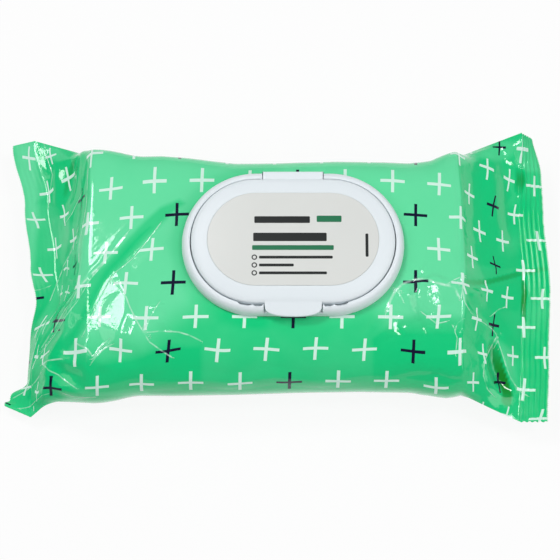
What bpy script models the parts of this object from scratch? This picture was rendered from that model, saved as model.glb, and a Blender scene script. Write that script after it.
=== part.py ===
"""Wet wipes pack: a sealed film pouch with a moulded flip lid. Metres, +Z up, lid on top, length along X."""

import math

import bmesh
import bpy
import numpy as np

MM = 0.001
REST_GAP = 0.3 * MM         # left between pieces that lie on each other

# Film pouch, drawn round a block of folded wipes
BLOCK_LENGTH = 178 * MM     # between the two end folds
POUCH_DEPTH = 110 * MM      # front to back
POUCH_HEIGHT = 45 * MM
FRONT_ROUND = 22 * MM       # long edges of the block, where the film is slack
BACK_ROUND = 15 * MM
END_SLOPE = 29 * MM         # from an end fold out to its seal
SEAL_WIDTH = 13 * MM
SEAL_HEIGHT = 20 * MM       # of the end seals above the table
SEAL_THICKNESS = 0.6 * MM
SEAL_SPREAD = 1.5 * MM      # slack film that lengthens each seal at both its ends
END_FLARE = 5 * MM          # pouch's growth in depth towards each end fold, as the tube flattens
FLARE_REACH = 26 * MM
CRIMP_RIBS = 4
CRIMP_DEPTH = 0.4 * MM
TOOTH_DEPTH = 0.6 * MM
TEETH_PER_STRIP = 3
END_DROOP = 0.55            # share by which slack film past the block sinks to the seal's height
BACK_SEAM_WIDTH = 12 * MM
BACK_SEAM_GROOVE = 0.4 * MM

# Flip lid
LID_ALONG = 8.6 * MM        # lid's centre from the pouch's centre
LID_BACK = 9.5 * MM
LID_LENGTH = 106 * MM
LID_DEPTH = 71 * MM
RIM_WIDTH = 4 * MM          # sloping rim of the base, seen round the cover
RIM_HEIGHT = 6.9 * MM
FLANGE_EDGE = 1.1 * MM
FOOT_WIDTH = 1.4 * MM       # of the rim that stands on the film
DECK_UNDER = 1.4 * MM       # deck inside the rim, above the film
DECK_THICKNESS = 1.4 * MM
MOUTH_DEPTH = 41 * MM       # opening that the wipes are drawn through
COLLAR_WIDTH = 1.2 * MM
COLLAR_HEIGHT = 2 * MM
COVER_CLEARANCE = 0.35 * MM
COVER_LIFT = 0.6 * MM       # cover's skirt above the deck
COVER_WALL = 1.2 * MM
COVER_HEIGHT = 9.6 * MM     # top of the cover above the film
COVER_EDGE_DROP = 0.8 * MM
SEALING_RING_WIDTH = 1 * MM
SEALING_RING_CLEARANCE = 0.65 * MM
SEALING_RING_DROP = 5 * MM
LABEL_DEPTH = 46 * MM
LABEL_THICKNESS = 0.25 * MM
LABEL_RECESS = 0.3 * MM
LABEL_GAP = 0.2 * MM

# Hinge at the back of the lid and thumb tab at its front
HINGE_WIDTH = 28.6 * MM
HINGE_FROM_BACK = 0.65 * MM
HINGE_HEIGHT = 6.55 * MM    # axis above the film
HINGE_WEB = 0.35 * MM
HINGE_GAP = 0.3 * MM
TONGUE_THICKNESS = 1.2 * MM
TAB_WIDTH = 27 * MM
TAB_OVERHANG = 1.8 * MM
TAB_THICKNESS = 1.5 * MM
TAB_SLOPE = 14              # degrees
NOTCH_CLEARANCE = 0.4 * MM
NOTCH_FLOOR = 3.9 * MM      # front notch's floor above the film

# Adhesive under the lid and the peel seal over the pouch's opening
ADHESIVE_MARGIN = 0.6 * MM
PEEL_LENGTH = 62 * MM
PEEL_DEPTH = 29 * MM
PEEL_THICKNESS = 0.3 * MM
PEEL_TAB_WIDTH = 12 * MM
PEEL_TAB_LENGTH = 6 * MM

TURN_STEPS = 42             # round a lid piece; no vertex falls on x = 0, where the halves part
LID_STRAIGHT = (LID_LENGTH - LID_DEPTH) / 2
LID_ROUND = LID_DEPTH / 2
COVER_ROUND = LID_ROUND - RIM_WIDTH - COVER_CLEARANCE
DECK_TOP = DECK_UNDER + DECK_THICKNESS

# Rows across the pouch, from its front edge (-1) to its back edge (1):
# share across, then in mm the end fold and the seal moved outwards and the seal raised, then the seal's downward
# turn in degrees, and in mm the seal and its cut edge moved back
LEFT_END = (
    (-1.00, 20, 0, -12, 8, 4, 10),
    (-0.86, 22, 0, -10, 35, 2, 5),
    (-0.66, 19, 0, -6, 78, 0, 0),
    (-0.42, 11, -3, -1, 70, 0, 0),
    (-0.15, 5, -13.5, 1, 26, 0, 0),
    (0.12, 3, -11, 0, 16, 0, 0),
    (0.55, 0, -6.5, 0, 22, 0, 0),
    (1.00, 0, 1.5, 1, 30, 0, 0),
)
RIGHT_END = (
    (-1.00, 0, -0.5, -5, 0, 0, 0),
    (-0.60, 0, 1, -3, 4, 0, 0),
    (0.00, 1, 3, 0, 8, 0, 0),
    (0.45, 0, 1.5, 1, 16, 0, 0),
    (0.75, -1, 2.5, 3, 30, 0.5, 1),
    (1.00, -2, 3.5, 8, 60, 1.5, 3),
)
# Slack film that stands out behind and in front of the block: mm along the pouch and extra mm of depth
BACK_SLACK = (
    (-118, 2), (-92, 3), (-75, 4.5), (-55, 5), (-43, 4), (-32, 2.5), (-20, 1), (-8, 1), (10, 1.5),
    (30, 2), (52, 1.8), (68, 1), (76, 0), (86, 2), (97, 3.5), (112, 3),
)
FRONT_SLACK = (
    (-105, 0), (-75, 2.8), (-50, 3), (-20, 2.5), (10, 1.5), (40, 1), (70, 1.5), (82, 0), (95, -4), (107, -4), (118, 0),
)
# Folds in the film: height and half width in mm, then a line of points (mm in from the end fold, mm across)
LEFT_FOLDS = (
    (-5.5, 11, ((42, 31), (26, 18), (10, 0), (-3, -20), (-14, -42))),
    (2.4, 7, ((24, 5), (13, -8), (2, -26), (-4, -38))),
    (2.0, 6, ((28, 16), (12, 3), (-6, -14), (-18, -38))),
    (-6.0, 12, ((-7, 46), (-9, 30), (-13, 14))),
    (3.0, 8, ((0, 40), (-10, 52), (-24, 64))),
    (-2.5, 8, ((30, -10), (20, -30), (12, -48))),
    (2.0, 7, ((36, -28), (22, -40), (6, -54))),
    (2.8, 18, ((4, 56), (32, 58), (72, 58))),
    (-1.8, 7, ((60, -44), (44, -50), (30, -60))),
)
RIGHT_FOLDS = (
    (-5.0, 11, ((-8, 44), (-12, 26), (-14, 8))),
    (3.0, 8, ((2, 44), (-10, 55), (-24, 66))),
    (2.2, 6, ((20, -12), (13, -9), (5, -11), (-3, -21), (-12, -28), (-17, -33))),
    (-3.5, 9, ((18, -22), (8, -27), (-4, -34))),
    (-7.5, 8, ((-15, -36), (-18, -46), (-22, -58))),
    (2.5, 6, ((-13, -34), (-9, -46), (-7, -60))),
    (-2.0, 7, ((4, -4), (-10, -7), (-22, -9))),
    (-1.8, 8, ((44, -48), (30, -54), (14, -60))),
    (1.6, 8, ((70, -50), (56, -56), (40, -60))),
)
LID_CLEAR = 2 * MM          # film stays flat this far round the lid, then folds fade in
FOLD_FADE = 12 * MM
EDGE_FADE = 7 * MM          # at the pouch's front and back mid lines
MOST_FOLD_NEAR_BASE = 0.35  # share of a fold's depth that is left at the seal


def clear_scene():
    for old in list(bpy.data.objects):
        bpy.data.objects.remove(old)


def smooth_step(value):
    held = np.clip(value, 0, 1)
    return held * held * (3 - 2 * held)


def along_rows(rows, column, share):
    """One column of an end's rows, carried smoothly from row to row across the pouch."""
    places = [row[0] for row in rows]
    values = np.array([row[column] for row in rows], float)
    before = np.clip(np.searchsorted(places, share, side="right") - 1, 0, len(rows) - 2)
    start = np.array(places)[before]
    span = np.array(places)[before + 1] - start
    eased = smooth_step((share - start) / span)
    return values[before] + (values[before + 1] - values[before]) * eased


def side_round(across):
    limit = POUCH_HEIGHT / 2
    return np.where(across < 0, min(FRONT_ROUND, limit), min(BACK_ROUND, limit))


def half_girth(edge_round):
    edge_round = min(edge_round, POUCH_HEIGHT / 2)
    flat = POUCH_DEPTH / 2 - edge_round
    return flat + edge_round * math.pi / 2 + POUCH_HEIGHT / 2 - edge_round


def section(across):
    """Depth and height on the pouch's upper half at a distance across the film from the middle of its top."""
    edge_round = side_round(across)
    flat = POUCH_DEPTH / 2 - edge_round
    past_flat = np.abs(across) - flat
    angle = np.clip(past_flat / edge_round, 0, math.pi / 2)
    depth = np.minimum(np.abs(across), flat) + edge_round * np.sin(angle)
    fall = edge_round * (1 - np.cos(angle)) + np.maximum(past_flat - edge_round * math.pi / 2, 0)
    return np.sign(across) * depth, POUCH_HEIGHT - fall


def slack_at(x, rows):
    places = [along * MM for along, extra in rows]
    extras = [extra * MM for along, extra in rows]
    return np.interp(x, places, extras)


def flare(x, across):
    """How far the film stands out to the front or back: more near an end fold, and where it is slack."""
    near_end = smooth_step((np.abs(x) - BLOCK_LENGTH / 2 + FLARE_REACH) / FLARE_REACH)
    past_flat = np.abs(across) - (POUCH_DEPTH / 2 - side_round(across))
    outer = smooth_step(past_flat / side_round(across))
    slack = np.where(across > 0, slack_at(x, BACK_SLACK), slack_at(x, FRONT_SLACK))
    return np.sign(across) * (END_FLARE * near_end + slack) * outer


def across_samples():
    """Distances across the film: finer on the rounded edges than on the flat top."""
    front_flat = min(FRONT_ROUND, POUCH_HEIGHT / 2) - POUCH_DEPTH / 2
    back_flat = POUCH_DEPTH / 2 - min(BACK_ROUND, POUCH_HEIGHT / 2)
    front = np.linspace(-half_girth(FRONT_ROUND), front_flat, 9)
    top = np.linspace(front_flat, back_flat, 18)
    back = np.linspace(back_flat, half_girth(BACK_ROUND), 9)
    return np.concatenate([front, top[1:], back[1:]])


def distance_to_line(x, across, points):
    """Distance from each place on the film to a line of points, and how far along the line that is, 0 to 1."""
    nearest = np.full(x.shape, 1e9)
    reached = np.zeros(x.shape)
    steps = len(points) - 1
    for i in range(steps):
        (x0, a0), (x1, a1) = points[i], points[i + 1]
        dx, da = x1 - x0, a1 - a0
        share = np.clip(((x - x0) * dx + (across - a0) * da) / (dx * dx + da * da), 0, 1)
        away = np.hypot(x - x0 - share * dx, across - a0 - share * da)
        closer = away < nearest
        nearest = np.where(closer, away, nearest)
        reached = np.where(closer, (i + share) / steps, reached)
    return nearest, reached


def fold_height(x, across):
    """How far the folds push the film out (or in, below zero) at each place."""
    total = np.zeros(x.shape)
    for side, folds in ((-1, LEFT_FOLDS), (1, RIGHT_FOLDS)):
        for height, half_width, points in folds:
            line = [(side * (BLOCK_LENGTH / 2 - inward * MM), over * MM) for inward, over in points]
            away, reached = distance_to_line(x, across, line)
            ridge = np.clip(1 - away / (half_width * MM), 0, 1) ** 1.2
            total += height * MM * ridge * np.sin(math.pi * (0.12 + 0.76 * reached))
    return total


def lid_distance(x, y):
    """How far outside the lid's outline a place is."""
    off_line = np.maximum(np.abs(x - LID_ALONG) - LID_STRAIGHT, 0)
    return np.hypot(off_line, y - LID_BACK) - LID_ROUND


def end_edges(rows, side, across, lower):
    """Fold, seal and outer edge of one end of the film, each as points across it."""
    share = np.where(across < 0, across / half_girth(FRONT_ROUND), across / half_girth(BACK_ROUND))
    fold_out = along_rows(rows, 1, share) * MM
    if lower:
        fold_out = fold_out * share**4
    y, z = section(across)
    if lower:
        z = POUCH_HEIGHT - z
    seal_z = SEAL_HEIGHT + along_rows(rows, 3, share) * MM
    sunk = END_DROOP * np.clip(fold_out / END_SLOPE, 0, 1)
    fold_x = side * (BLOCK_LENGTH / 2 + fold_out)
    fold = np.stack([fold_x, y + flare(fold_x, across), z + sunk * (seal_z - z)], axis=-1)
    seal_x = side * (BLOCK_LENGTH / 2 + END_SLOPE + along_rows(rows, 2, share) * MM)
    seal_y = across + share * SEAL_SPREAD
    seal = np.stack([seal_x, seal_y + along_rows(rows, 5, share) * MM, seal_z], axis=-1)
    turn = np.radians(along_rows(rows, 4, share))
    edge_back = (along_rows(rows, 6, share) - along_rows(rows, 5, share)) * MM
    reach = np.stack([side * SEAL_WIDTH * np.cos(turn), edge_back, -SEAL_WIDTH * np.sin(turn)], axis=-1)
    return fold, seal, seal + reach


def end_weighted(count):
    """Shares from 0 to 1 that lie closer together towards both ends."""
    even = np.linspace(-1, 1, count)
    return 0.5 + 0.25 * even + 0.25 * np.sin(even * math.pi / 2)


def film_sheet(across, lower):
    """Grid of points for the upper or lower half of the film, end seal to end seal."""
    left_fold, left_seal, left_edge = end_edges(LEFT_END, -1, across, lower)
    right_fold, right_seal, right_edge = end_edges(RIGHT_END, 1, across, lower)
    y, z = section(across)
    if lower:
        z = POUCH_HEIGHT - z
    fin_rows = np.linspace(0, 1, 2 * CRIMP_RIBS + 1)
    slope_rows = np.linspace(0, 1, 8)[1:]
    rows = [left_edge + (left_seal - left_edge) * t for t in fin_rows]
    rows += [left_seal + (left_fold - left_seal) * t for t in slope_rows]
    for t in end_weighted(28)[1:-1]:
        x = left_fold[:, 0] + (right_fold[:, 0] - left_fold[:, 0]) * t
        past = np.clip((np.abs(x) - BLOCK_LENGTH / 2) / END_SLOPE, 0, 1)
        end_z = np.where(x < 0, left_seal[:, 2], right_seal[:, 2])
        rows.append(np.stack([x, y + flare(x, across), z + END_DROOP * past * (end_z - z)], axis=-1))
    rows += [right_fold + (right_seal - right_fold) * t for t in (0, *slope_rows)]
    rows += [right_seal + (right_edge - right_seal) * t for t in fin_rows[1:]]
    grid = np.array(rows)
    fin = np.zeros(len(rows))
    fin[: len(fin_rows)] = 1
    fin[-len(fin_rows) :] = 1
    return grid, fin


def grid_normals(grid, lower):
    along = np.gradient(grid, axis=0)
    over = np.gradient(grid, axis=1)
    normal = np.cross(along, over)
    normal /= np.linalg.norm(normal, axis=-1, keepdims=True)
    return -normal if lower else normal


def crimp(grid, fin):
    """Height of the crimped ribs, which run across each end seal."""
    ribs = np.zeros(len(fin))
    count = 2 * CRIMP_RIBS + 1
    wave = CRIMP_DEPTH * np.where(np.arange(count) % 2, 0.5, -0.5)
    ribs[:count] = wave
    ribs[-count:] = wave
    return np.repeat(ribs[:, None], grid.shape[1], axis=1)


def folded_sheet(across, lower):
    """The film's half with its folds, crimped ribs and thickness at the seals."""
    grid, fin = film_sheet(across, lower)
    normal = grid_normals(grid, lower)
    rise = crimp(grid, fin) * (-1 if lower else 1)
    rise += fin[:, None] * SEAL_THICKNESS / 2
    if not lower:
        x, y = grid[..., 0], grid[..., 1]
        over = np.repeat(across[None, :], len(grid), axis=0)
        edge = np.minimum(across - across[0], across[-1] - across)
        fade = smooth_step((lid_distance(x, y) - LID_CLEAR) / FOLD_FADE)
        fade = fade * smooth_step(edge / EDGE_FADE)[None, :]
        fade = fade * near_seal_fade(fin)[:, None]
        rise += fold_height(x, over) * fade
    edge_rows = slice(1, -1)
    grid[:, edge_rows] += (normal * rise[..., None])[:, edge_rows]
    return grid


def near_seal_fade(fin):
    """1 over the pouch, falling to a small share in the last rows before a seal and to nothing on it."""
    off_fin = np.flatnonzero(fin == 0)
    fade = np.zeros(len(fin))
    fade[off_fin] = 1
    for start, step in ((off_fin[0], 1), (off_fin[-1], -1)):
        for i, share in enumerate((MOST_FOLD_NEAR_BASE, 0.7)):
            fade[start + i * step] = share
    return fade


def toothed_edge(edge, seal_row):
    """The seal's cut edge: points between each pair of rows, every other one cut back as a tooth's root."""
    per_strip = 2 * TEETH_PER_STRIP
    fine = []
    for i in range(len(edge) - 1):
        for k in range(per_strip):
            share = k / per_strip
            point = edge[i] + (edge[i + 1] - edge[i]) * share
            outwards = edge[i] - seal_row[i]
            outwards = outwards / np.linalg.norm(outwards)
            fine.append(point - outwards * TOOTH_DEPTH * (k % 2))
    fine.append(edge[-1])
    return fine


def film_pouch(collection, film):
    """One closed solid: upper and lower film joined along the pouch's sides and round its toothed seals."""
    across = across_samples()
    upper = folded_sheet(across, lower=False)
    lower = folded_sheet(across, lower=True)
    shape = bmesh.new()
    count = len(across)
    rings = []
    for top_row, bottom_row in zip(upper[1:-1], lower[1:-1]):
        top = [shape.verts.new(p) for p in top_row]
        bottom = [top[0]] + [shape.verts.new(p) for p in bottom_row[1:-1]] + [top[-1]]
        rings.append((top, bottom))
    for (top_a, bottom_a), (top_b, bottom_b) in zip(rings, rings[1:]):
        for i in range(count - 1):
            shape.faces.new((top_a[i], top_b[i], top_b[i + 1], top_a[i + 1]))
            shape.faces.new((bottom_a[i + 1], bottom_b[i + 1], bottom_b[i], bottom_a[i]))
    for row, next_row, side in ((0, 1, -1), (-1, -2, 1)):
        top_coarse, bottom_coarse = rings[row]
        top_fine = [shape.verts.new(p) for p in toothed_edge(upper[row], upper[next_row])]
        lower_points = toothed_edge(lower[row], lower[next_row])
        bottom_fine = [top_fine[0]] + [shape.verts.new(p) for p in lower_points[1:-1]] + [top_fine[-1]]
        per_strip = 2 * TEETH_PER_STRIP
        for i in range(count - 1):
            strip = slice(i * per_strip, (i + 1) * per_strip + 1)
            shape.faces.new([top_coarse[i], *top_fine[strip], top_coarse[i + 1]][::side])
            shape.faces.new([bottom_coarse[i], *bottom_fine[strip], bottom_coarse[i + 1]][::-side])
        for k in range(len(top_fine) - 1):
            corners = [top_fine[k], top_fine[k + 1], bottom_fine[k + 1], bottom_fine[k]]
            unique = list(dict.fromkeys(corners))
            shape.faces.new(unique)
    bmesh.ops.recalc_face_normals(shape, faces=shape.faces)
    mesh = bpy.data.meshes.new("film_pouch")
    shape.to_mesh(mesh)
    shape.free()
    return add_object("film_pouch", mesh, collection, film)


def add_object(name, mesh, collection, material=None, location=(0, 0, 0)):
    made = bpy.data.objects.new(name, mesh)
    made.location = location
    if material:
        mesh.materials.append(material)
    collection.objects.link(made)
    return made


def material_of(name, colour, roughness):
    made = bpy.data.materials.new(name)
    made.use_nodes = True
    shader = made.node_tree.nodes["Principled BSDF"]
    shader.inputs["Base Color"].default_value = (*colour, 1)
    shader.inputs["Roughness"].default_value = roughness
    shader.inputs["Metallic"].default_value = 0
    return made


def turned_stadium(name, profile, straight, collection, material, location, closed=True):
    """A profile of (radius, height) turned about Z, then parted at x = 0 so that straight sides join the two half rounds.
    The profile runs down its outer side. One that is not closed starts and ends on the axis."""
    mesh = bpy.data.meshes.new(name + "_profile")
    points = [(radius, 0, height) for radius, height in profile]
    edges = [(i, i + 1) for i in range(len(points) - 1)]
    if closed:
        edges.append((len(points) - 1, 0))
    mesh.from_pydata(points, edges, [])
    guide = add_object(name + "_profile", mesh, collection)
    turn = guide.modifiers.new("turn", "SCREW")
    turn.axis = "Z"
    turn.angle = 2 * math.pi
    turn.steps = TURN_STEPS
    turn.render_steps = TURN_STEPS
    turn.use_merge_vertices = True
    turn.merge_threshold = 0.00001
    turned = mesh_of(guide, name)
    bpy.data.objects.remove(guide)
    for vertex in turned.vertices:
        if abs(vertex.co.x) > 1e-6:
            vertex.co.x += math.copysign(straight, vertex.co.x)
    turned.materials.clear()
    made = add_object(name, turned, collection, material, location)
    made.data.shade_smooth()
    made.data.set_sharp_from_angle(angle=math.radians(35))
    return made


def mesh_of(source, name):
    graph = bpy.context.evaluated_depsgraph_get()
    graph.update()
    made = bpy.data.meshes.new_from_object(source.evaluated_get(graph))
    made.name = name
    return made


def block(name, low, high, collection):
    """A box between two corners."""
    shape = bmesh.new()
    bmesh.ops.create_cube(shape, size=1)
    size = [b - a for a, b in zip(low, high)]
    bmesh.ops.scale(shape, vec=size, verts=shape.verts)
    bmesh.ops.translate(shape, vec=[(a + b) / 2 for a, b in zip(low, high)], verts=shape.verts)
    mesh = bpy.data.meshes.new(name)
    shape.to_mesh(mesh)
    shape.free()
    return add_object(name, mesh, collection)


def flat_plate(name, outline, low, high, collection):
    """A flat outline given thickness between two heights, as a mesh."""
    curve = bpy.data.curves.new(name, "CURVE")
    curve.dimensions = "2D"
    curve.fill_mode = "BOTH"
    curve.extrude = (high - low) / 2
    spline = curve.splines.new("POLY")
    spline.points.add(len(outline) - 1)
    for point, (x, y) in zip(spline.points, outline):
        point.co = (x, y, 0, 1)
    spline.use_cyclic_u = True
    guide = add_object(name + "_outline", curve, collection)
    mesh = mesh_of(guide, name)
    bpy.data.objects.remove(guide)
    shape = bmesh.new()
    shape.from_mesh(mesh)
    bmesh.ops.remove_doubles(shape, verts=shape.verts, dist=1e-7)
    bmesh.ops.translate(shape, vec=(0, 0, (low + high) / 2), verts=shape.verts)
    bmesh.ops.recalc_face_normals(shape, faces=shape.faces)
    shape.to_mesh(mesh)
    shape.free()
    mesh.materials.clear()
    return add_object(name, mesh, collection)


def combine(target, tool, operation):
    """Adds a Boolean with a helper, which shows only as a wire."""
    tool.hide_render = True
    tool.display_type = "WIRE"
    tool.location = target.location
    step = target.modifiers.new(tool.name, "BOOLEAN")
    step.operation = operation
    step.solver = "EXACT"
    step.object = tool


def lid_base(pieces, helpers, plastic, place):
    """Moulded frame glued to the film: foot, sloping rim, sunk deck and a collar round the mouth."""
    inner = LID_ROUND - RIM_WIDTH
    mouth = MOUTH_DEPTH / 2
    rim_slope = [
        (LID_ROUND - RIM_WIDTH * (1 - math.cos(turn)) * 0.78, FLANGE_EDGE + (RIM_HEIGHT - FLANGE_EDGE) * math.sin(turn))
        for turn in (math.radians(step) for step in (0, 14, 30, 46, 62, 76, 90))
    ]
    profile = [
        (inner + 0.25 * MM, RIM_HEIGHT),
        *rim_slope[::-1],
        (LID_ROUND, REST_GAP),
        (LID_ROUND - FOOT_WIDTH, REST_GAP),
        (LID_ROUND - FOOT_WIDTH, DECK_UNDER),
        (mouth, DECK_UNDER),
        (mouth, DECK_TOP + COLLAR_HEIGHT),
        (mouth + COLLAR_WIDTH, DECK_TOP + COLLAR_HEIGHT),
        (mouth + COLLAR_WIDTH, DECK_TOP),
        (inner, DECK_TOP),
        (inner, RIM_HEIGHT - 0.25 * MM),
    ]
    base = turned_stadium("lid_base", profile, LID_STRAIGHT, pieces, plastic, place)
    half_tab = TAB_WIDTH / 2 + NOTCH_CLEARANCE
    front = block(
        "tab_notch",
        (-half_tab, -LID_ROUND - RIM_WIDTH, NOTCH_FLOOR),
        (half_tab, -inner + RIM_WIDTH / 2, RIM_HEIGHT + RIM_WIDTH),
        helpers,
    )
    half_hinge = HINGE_WIDTH / 2 + NOTCH_CLEARANCE
    lip_front = LID_ROUND - HINGE_FROM_BACK + HINGE_GAP
    behind = block(
        "hinge_notch",
        (-half_hinge, inner - RIM_WIDTH / 2, HINGE_HEIGHT - TONGUE_THICKNESS - HINGE_GAP),
        (half_hinge, lip_front, RIM_HEIGHT + RIM_WIDTH),
        helpers,
    )
    above_lip = block(
        "hinge_lip_top",
        (-half_hinge, inner - RIM_WIDTH / 2, HINGE_HEIGHT),
        (half_hinge, LID_ROUND + RIM_WIDTH, RIM_HEIGHT + RIM_WIDTH),
        helpers,
    )
    for tool in (front, behind, above_lip):
        combine(base, tool, "DIFFERENCE")
    return base


def lid_cover(pieces, helpers, plastic, place):
    """Domed cover with a skirt and a sealing ring, a hinge tongue behind and a thumb tab in front."""
    label = LABEL_DEPTH / 2 + LABEL_GAP
    edge_top = COVER_HEIGHT - COVER_EDGE_DROP
    skirt_foot = DECK_TOP + COVER_LIFT
    skirt_inner = COVER_ROUND - COVER_WALL
    under = COVER_HEIGHT - LABEL_RECESS - COVER_WALL
    under_edge = edge_top - COVER_WALL
    ring_inner = MOUTH_DEPTH / 2 + COLLAR_WIDTH + SEALING_RING_CLEARANCE
    ring_outer = ring_inner + SEALING_RING_WIDTH
    profile = [
        (0, COVER_HEIGHT - LABEL_RECESS),
        (label, COVER_HEIGHT - LABEL_RECESS),
        (label, COVER_HEIGHT),
        (label + 1.2 * MM, COVER_HEIGHT - 0.02 * MM),
        (COVER_ROUND - 2.4 * MM, edge_top + 0.25 * COVER_EDGE_DROP),
        (COVER_ROUND - 1.2 * MM, edge_top - 0.25 * MM),
        (COVER_ROUND - 0.35 * MM, edge_top - 0.8 * MM),
        (COVER_ROUND, edge_top - 1.6 * MM),
        (COVER_ROUND, skirt_foot),
        (skirt_inner, skirt_foot),
        (skirt_inner, under_edge - 0.4 * MM),
        (skirt_inner - 1 * MM, under_edge),
        (ring_outer, under),
        (ring_outer, under - SEALING_RING_DROP),
        (ring_inner, under - SEALING_RING_DROP),
        (ring_inner, under),
        (0, under),
    ]
    cover = turned_stadium("lid_cover", profile, LID_STRAIGHT, pieces, plastic, place, closed=False)
    tongue_top = HINGE_HEIGHT + HINGE_WEB / 2 + 0.2 * MM
    web_end = LID_ROUND - HINGE_FROM_BACK - HINGE_WEB / 2
    tongue = block(
        "hinge_tongue",
        (-HINGE_WIDTH / 2, COVER_ROUND - COVER_WALL / 2, tongue_top - TONGUE_THICKNESS),
        (HINGE_WIDTH / 2, web_end - 2 * HINGE_WEB, tongue_top),
        helpers,
    )
    web = block(
        "hinge_web",
        (-HINGE_WIDTH / 2 + HINGE_WEB, COVER_ROUND - COVER_WALL / 3, HINGE_HEIGHT - HINGE_WEB / 2),
        (HINGE_WIDTH / 2 - HINGE_WEB, web_end, HINGE_HEIGHT + HINGE_WEB / 2),
        helpers,
    )
    tab = thumb_tab(helpers, edge_top)
    for tool in (tongue, web, tab):
        combine(cover, tool, "UNION")
    return cover


def thumb_tab(helpers, edge_top):
    """Plate with a bowed front edge, sloping down over the front notch."""
    half = TAB_WIDTH / 2
    root = COVER_ROUND - COVER_WALL / 2
    side_end = LID_ROUND - TAB_OVERHANG * 0.6
    front = LID_ROUND + TAB_OVERHANG
    corner = 3 * MM
    bow = [
        (half * math.sin(turn) * 0.94, -side_end - (front - side_end) * math.cos(turn))
        for turn in (math.radians(step) for step in range(-75, 76, 15))
    ]
    outline = [(-half, -root), (-half, -side_end + corner), *bow, (half, -side_end + corner), (half, -root)]
    tab = flat_plate("thumb_tab", outline, -TAB_THICKNESS, 0, helpers)
    fall = math.tan(math.radians(TAB_SLOPE))
    top = edge_top - 0.9 * MM
    for vertex in tab.data.vertices:
        vertex.co.z += top - fall * (-vertex.co.y - root)
    return tab


def lid_label(pieces, paper, place):
    low = COVER_HEIGHT - LABEL_RECESS + LABEL_GAP
    profile = [(0, low + LABEL_THICKNESS), (LABEL_DEPTH / 2, low + LABEL_THICKNESS), (LABEL_DEPTH / 2, low), (0, low)]
    return turned_stadium("lid_label", profile, LID_STRAIGHT, pieces, paper, place, closed=False)


def adhesive_ring(pieces, glue, place):
    """Band of adhesive between the film and the underside of the lid's deck."""
    outer = LID_ROUND - FOOT_WIDTH - ADHESIVE_MARGIN
    inner = MOUTH_DEPTH / 2 + ADHESIVE_MARGIN
    top = DECK_UNDER - REST_GAP
    profile = [(outer, top), (outer, REST_GAP), (inner, REST_GAP), (inner, top)]
    return turned_stadium("adhesive_ring", profile, LID_STRAIGHT, pieces, glue, place)


def peel_seal(pieces, helpers, foil, place):
    """Sticker with a pull tab over the pouch's die-cut opening, inside the lid's mouth."""
    radius = PEEL_DEPTH / 2
    straight = (PEEL_LENGTH - PEEL_DEPTH) / 2
    top = REST_GAP + PEEL_THICKNESS
    profile = [(0, top), (radius, top), (radius, REST_GAP), (0, REST_GAP)]
    seal = turned_stadium("peel_seal", profile, straight, pieces, foil, place, closed=False)
    half = PEEL_TAB_WIDTH / 2
    inside = PEEL_LENGTH / 2 - half
    straight_end = PEEL_LENGTH / 2 + PEEL_TAB_LENGTH - half
    end = [
        (straight_end + half * math.cos(turn), half * math.sin(turn))
        for turn in (math.radians(step) for step in range(-90, 91, 15))
    ]
    pull = flat_plate("pull_tab", [(inside, -half), *end, (inside, half)], REST_GAP, top, helpers)
    combine(seal, pull, "UNION")
    return seal


def back_seam(pouch, helpers):
    """Groove beside the flat fold of the long seam, under the pouch."""
    half = BACK_SEAM_GROOVE / 2
    reach = BLOCK_LENGTH / 2 - POUCH_HEIGHT / 4
    groove = block(
        "seam_groove",
        (-reach, BACK_SEAM_WIDTH - half, -BACK_SEAM_GROOVE),
        (reach, BACK_SEAM_WIDTH + half, BACK_SEAM_GROOVE),
        helpers,
    )
    combine(pouch, groove, "DIFFERENCE")


def build():
    clear_scene()
    pieces = bpy.data.collections.new("wet_wipes_pack")
    helpers = bpy.data.collections.new("cutters")
    bpy.context.scene.collection.children.link(pieces)
    bpy.context.scene.collection.children.link(helpers)
    film = material_of("printed_film", (0.05, 0.66, 0.30), 0.2)
    plastic = material_of("white_plastic", (0.80, 0.86, 0.89), 0.35)
    paper = material_of("label_film", (0.76, 0.78, 0.77), 0.4)
    glue = material_of("adhesive", (0.85, 0.83, 0.74), 0.6)
    foil = material_of("peel_film", (0.88, 0.90, 0.90), 0.25)
    place = (LID_ALONG, LID_BACK, POUCH_HEIGHT)
    pouch = film_pouch(pieces, film)
    back_seam(pouch, helpers)
    lid_base(pieces, helpers, plastic, place)
    lid_cover(pieces, helpers, plastic, place)
    lid_label(pieces, paper, place)
    adhesive_ring(pieces, glue, place)
    peel_seal(pieces, helpers, foil, place)


build()
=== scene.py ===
import math

import bmesh
import bpy
import numpy as np
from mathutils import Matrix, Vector


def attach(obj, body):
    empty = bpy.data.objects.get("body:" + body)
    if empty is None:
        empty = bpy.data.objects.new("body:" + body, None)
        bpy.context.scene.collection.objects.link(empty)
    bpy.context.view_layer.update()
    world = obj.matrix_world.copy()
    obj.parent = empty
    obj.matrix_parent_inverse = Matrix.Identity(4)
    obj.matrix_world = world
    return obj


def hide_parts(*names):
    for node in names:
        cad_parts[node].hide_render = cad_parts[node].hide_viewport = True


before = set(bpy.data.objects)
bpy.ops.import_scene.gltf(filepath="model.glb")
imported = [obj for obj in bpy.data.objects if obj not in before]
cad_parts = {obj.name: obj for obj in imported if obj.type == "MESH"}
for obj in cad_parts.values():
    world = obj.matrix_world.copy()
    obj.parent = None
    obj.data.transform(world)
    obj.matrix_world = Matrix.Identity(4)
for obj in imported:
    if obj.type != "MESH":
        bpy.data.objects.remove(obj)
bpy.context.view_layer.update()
mm = 0.001
collection = bpy.context.scene.collection
print("frame loaded:", sorted(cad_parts))


# everything is worked out in millimetres and scaled once, when its mesh is made
def smoothStep(value):
    held = np.clip(value, 0, 1)
    return held * held * (3 - 2 * held)


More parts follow.
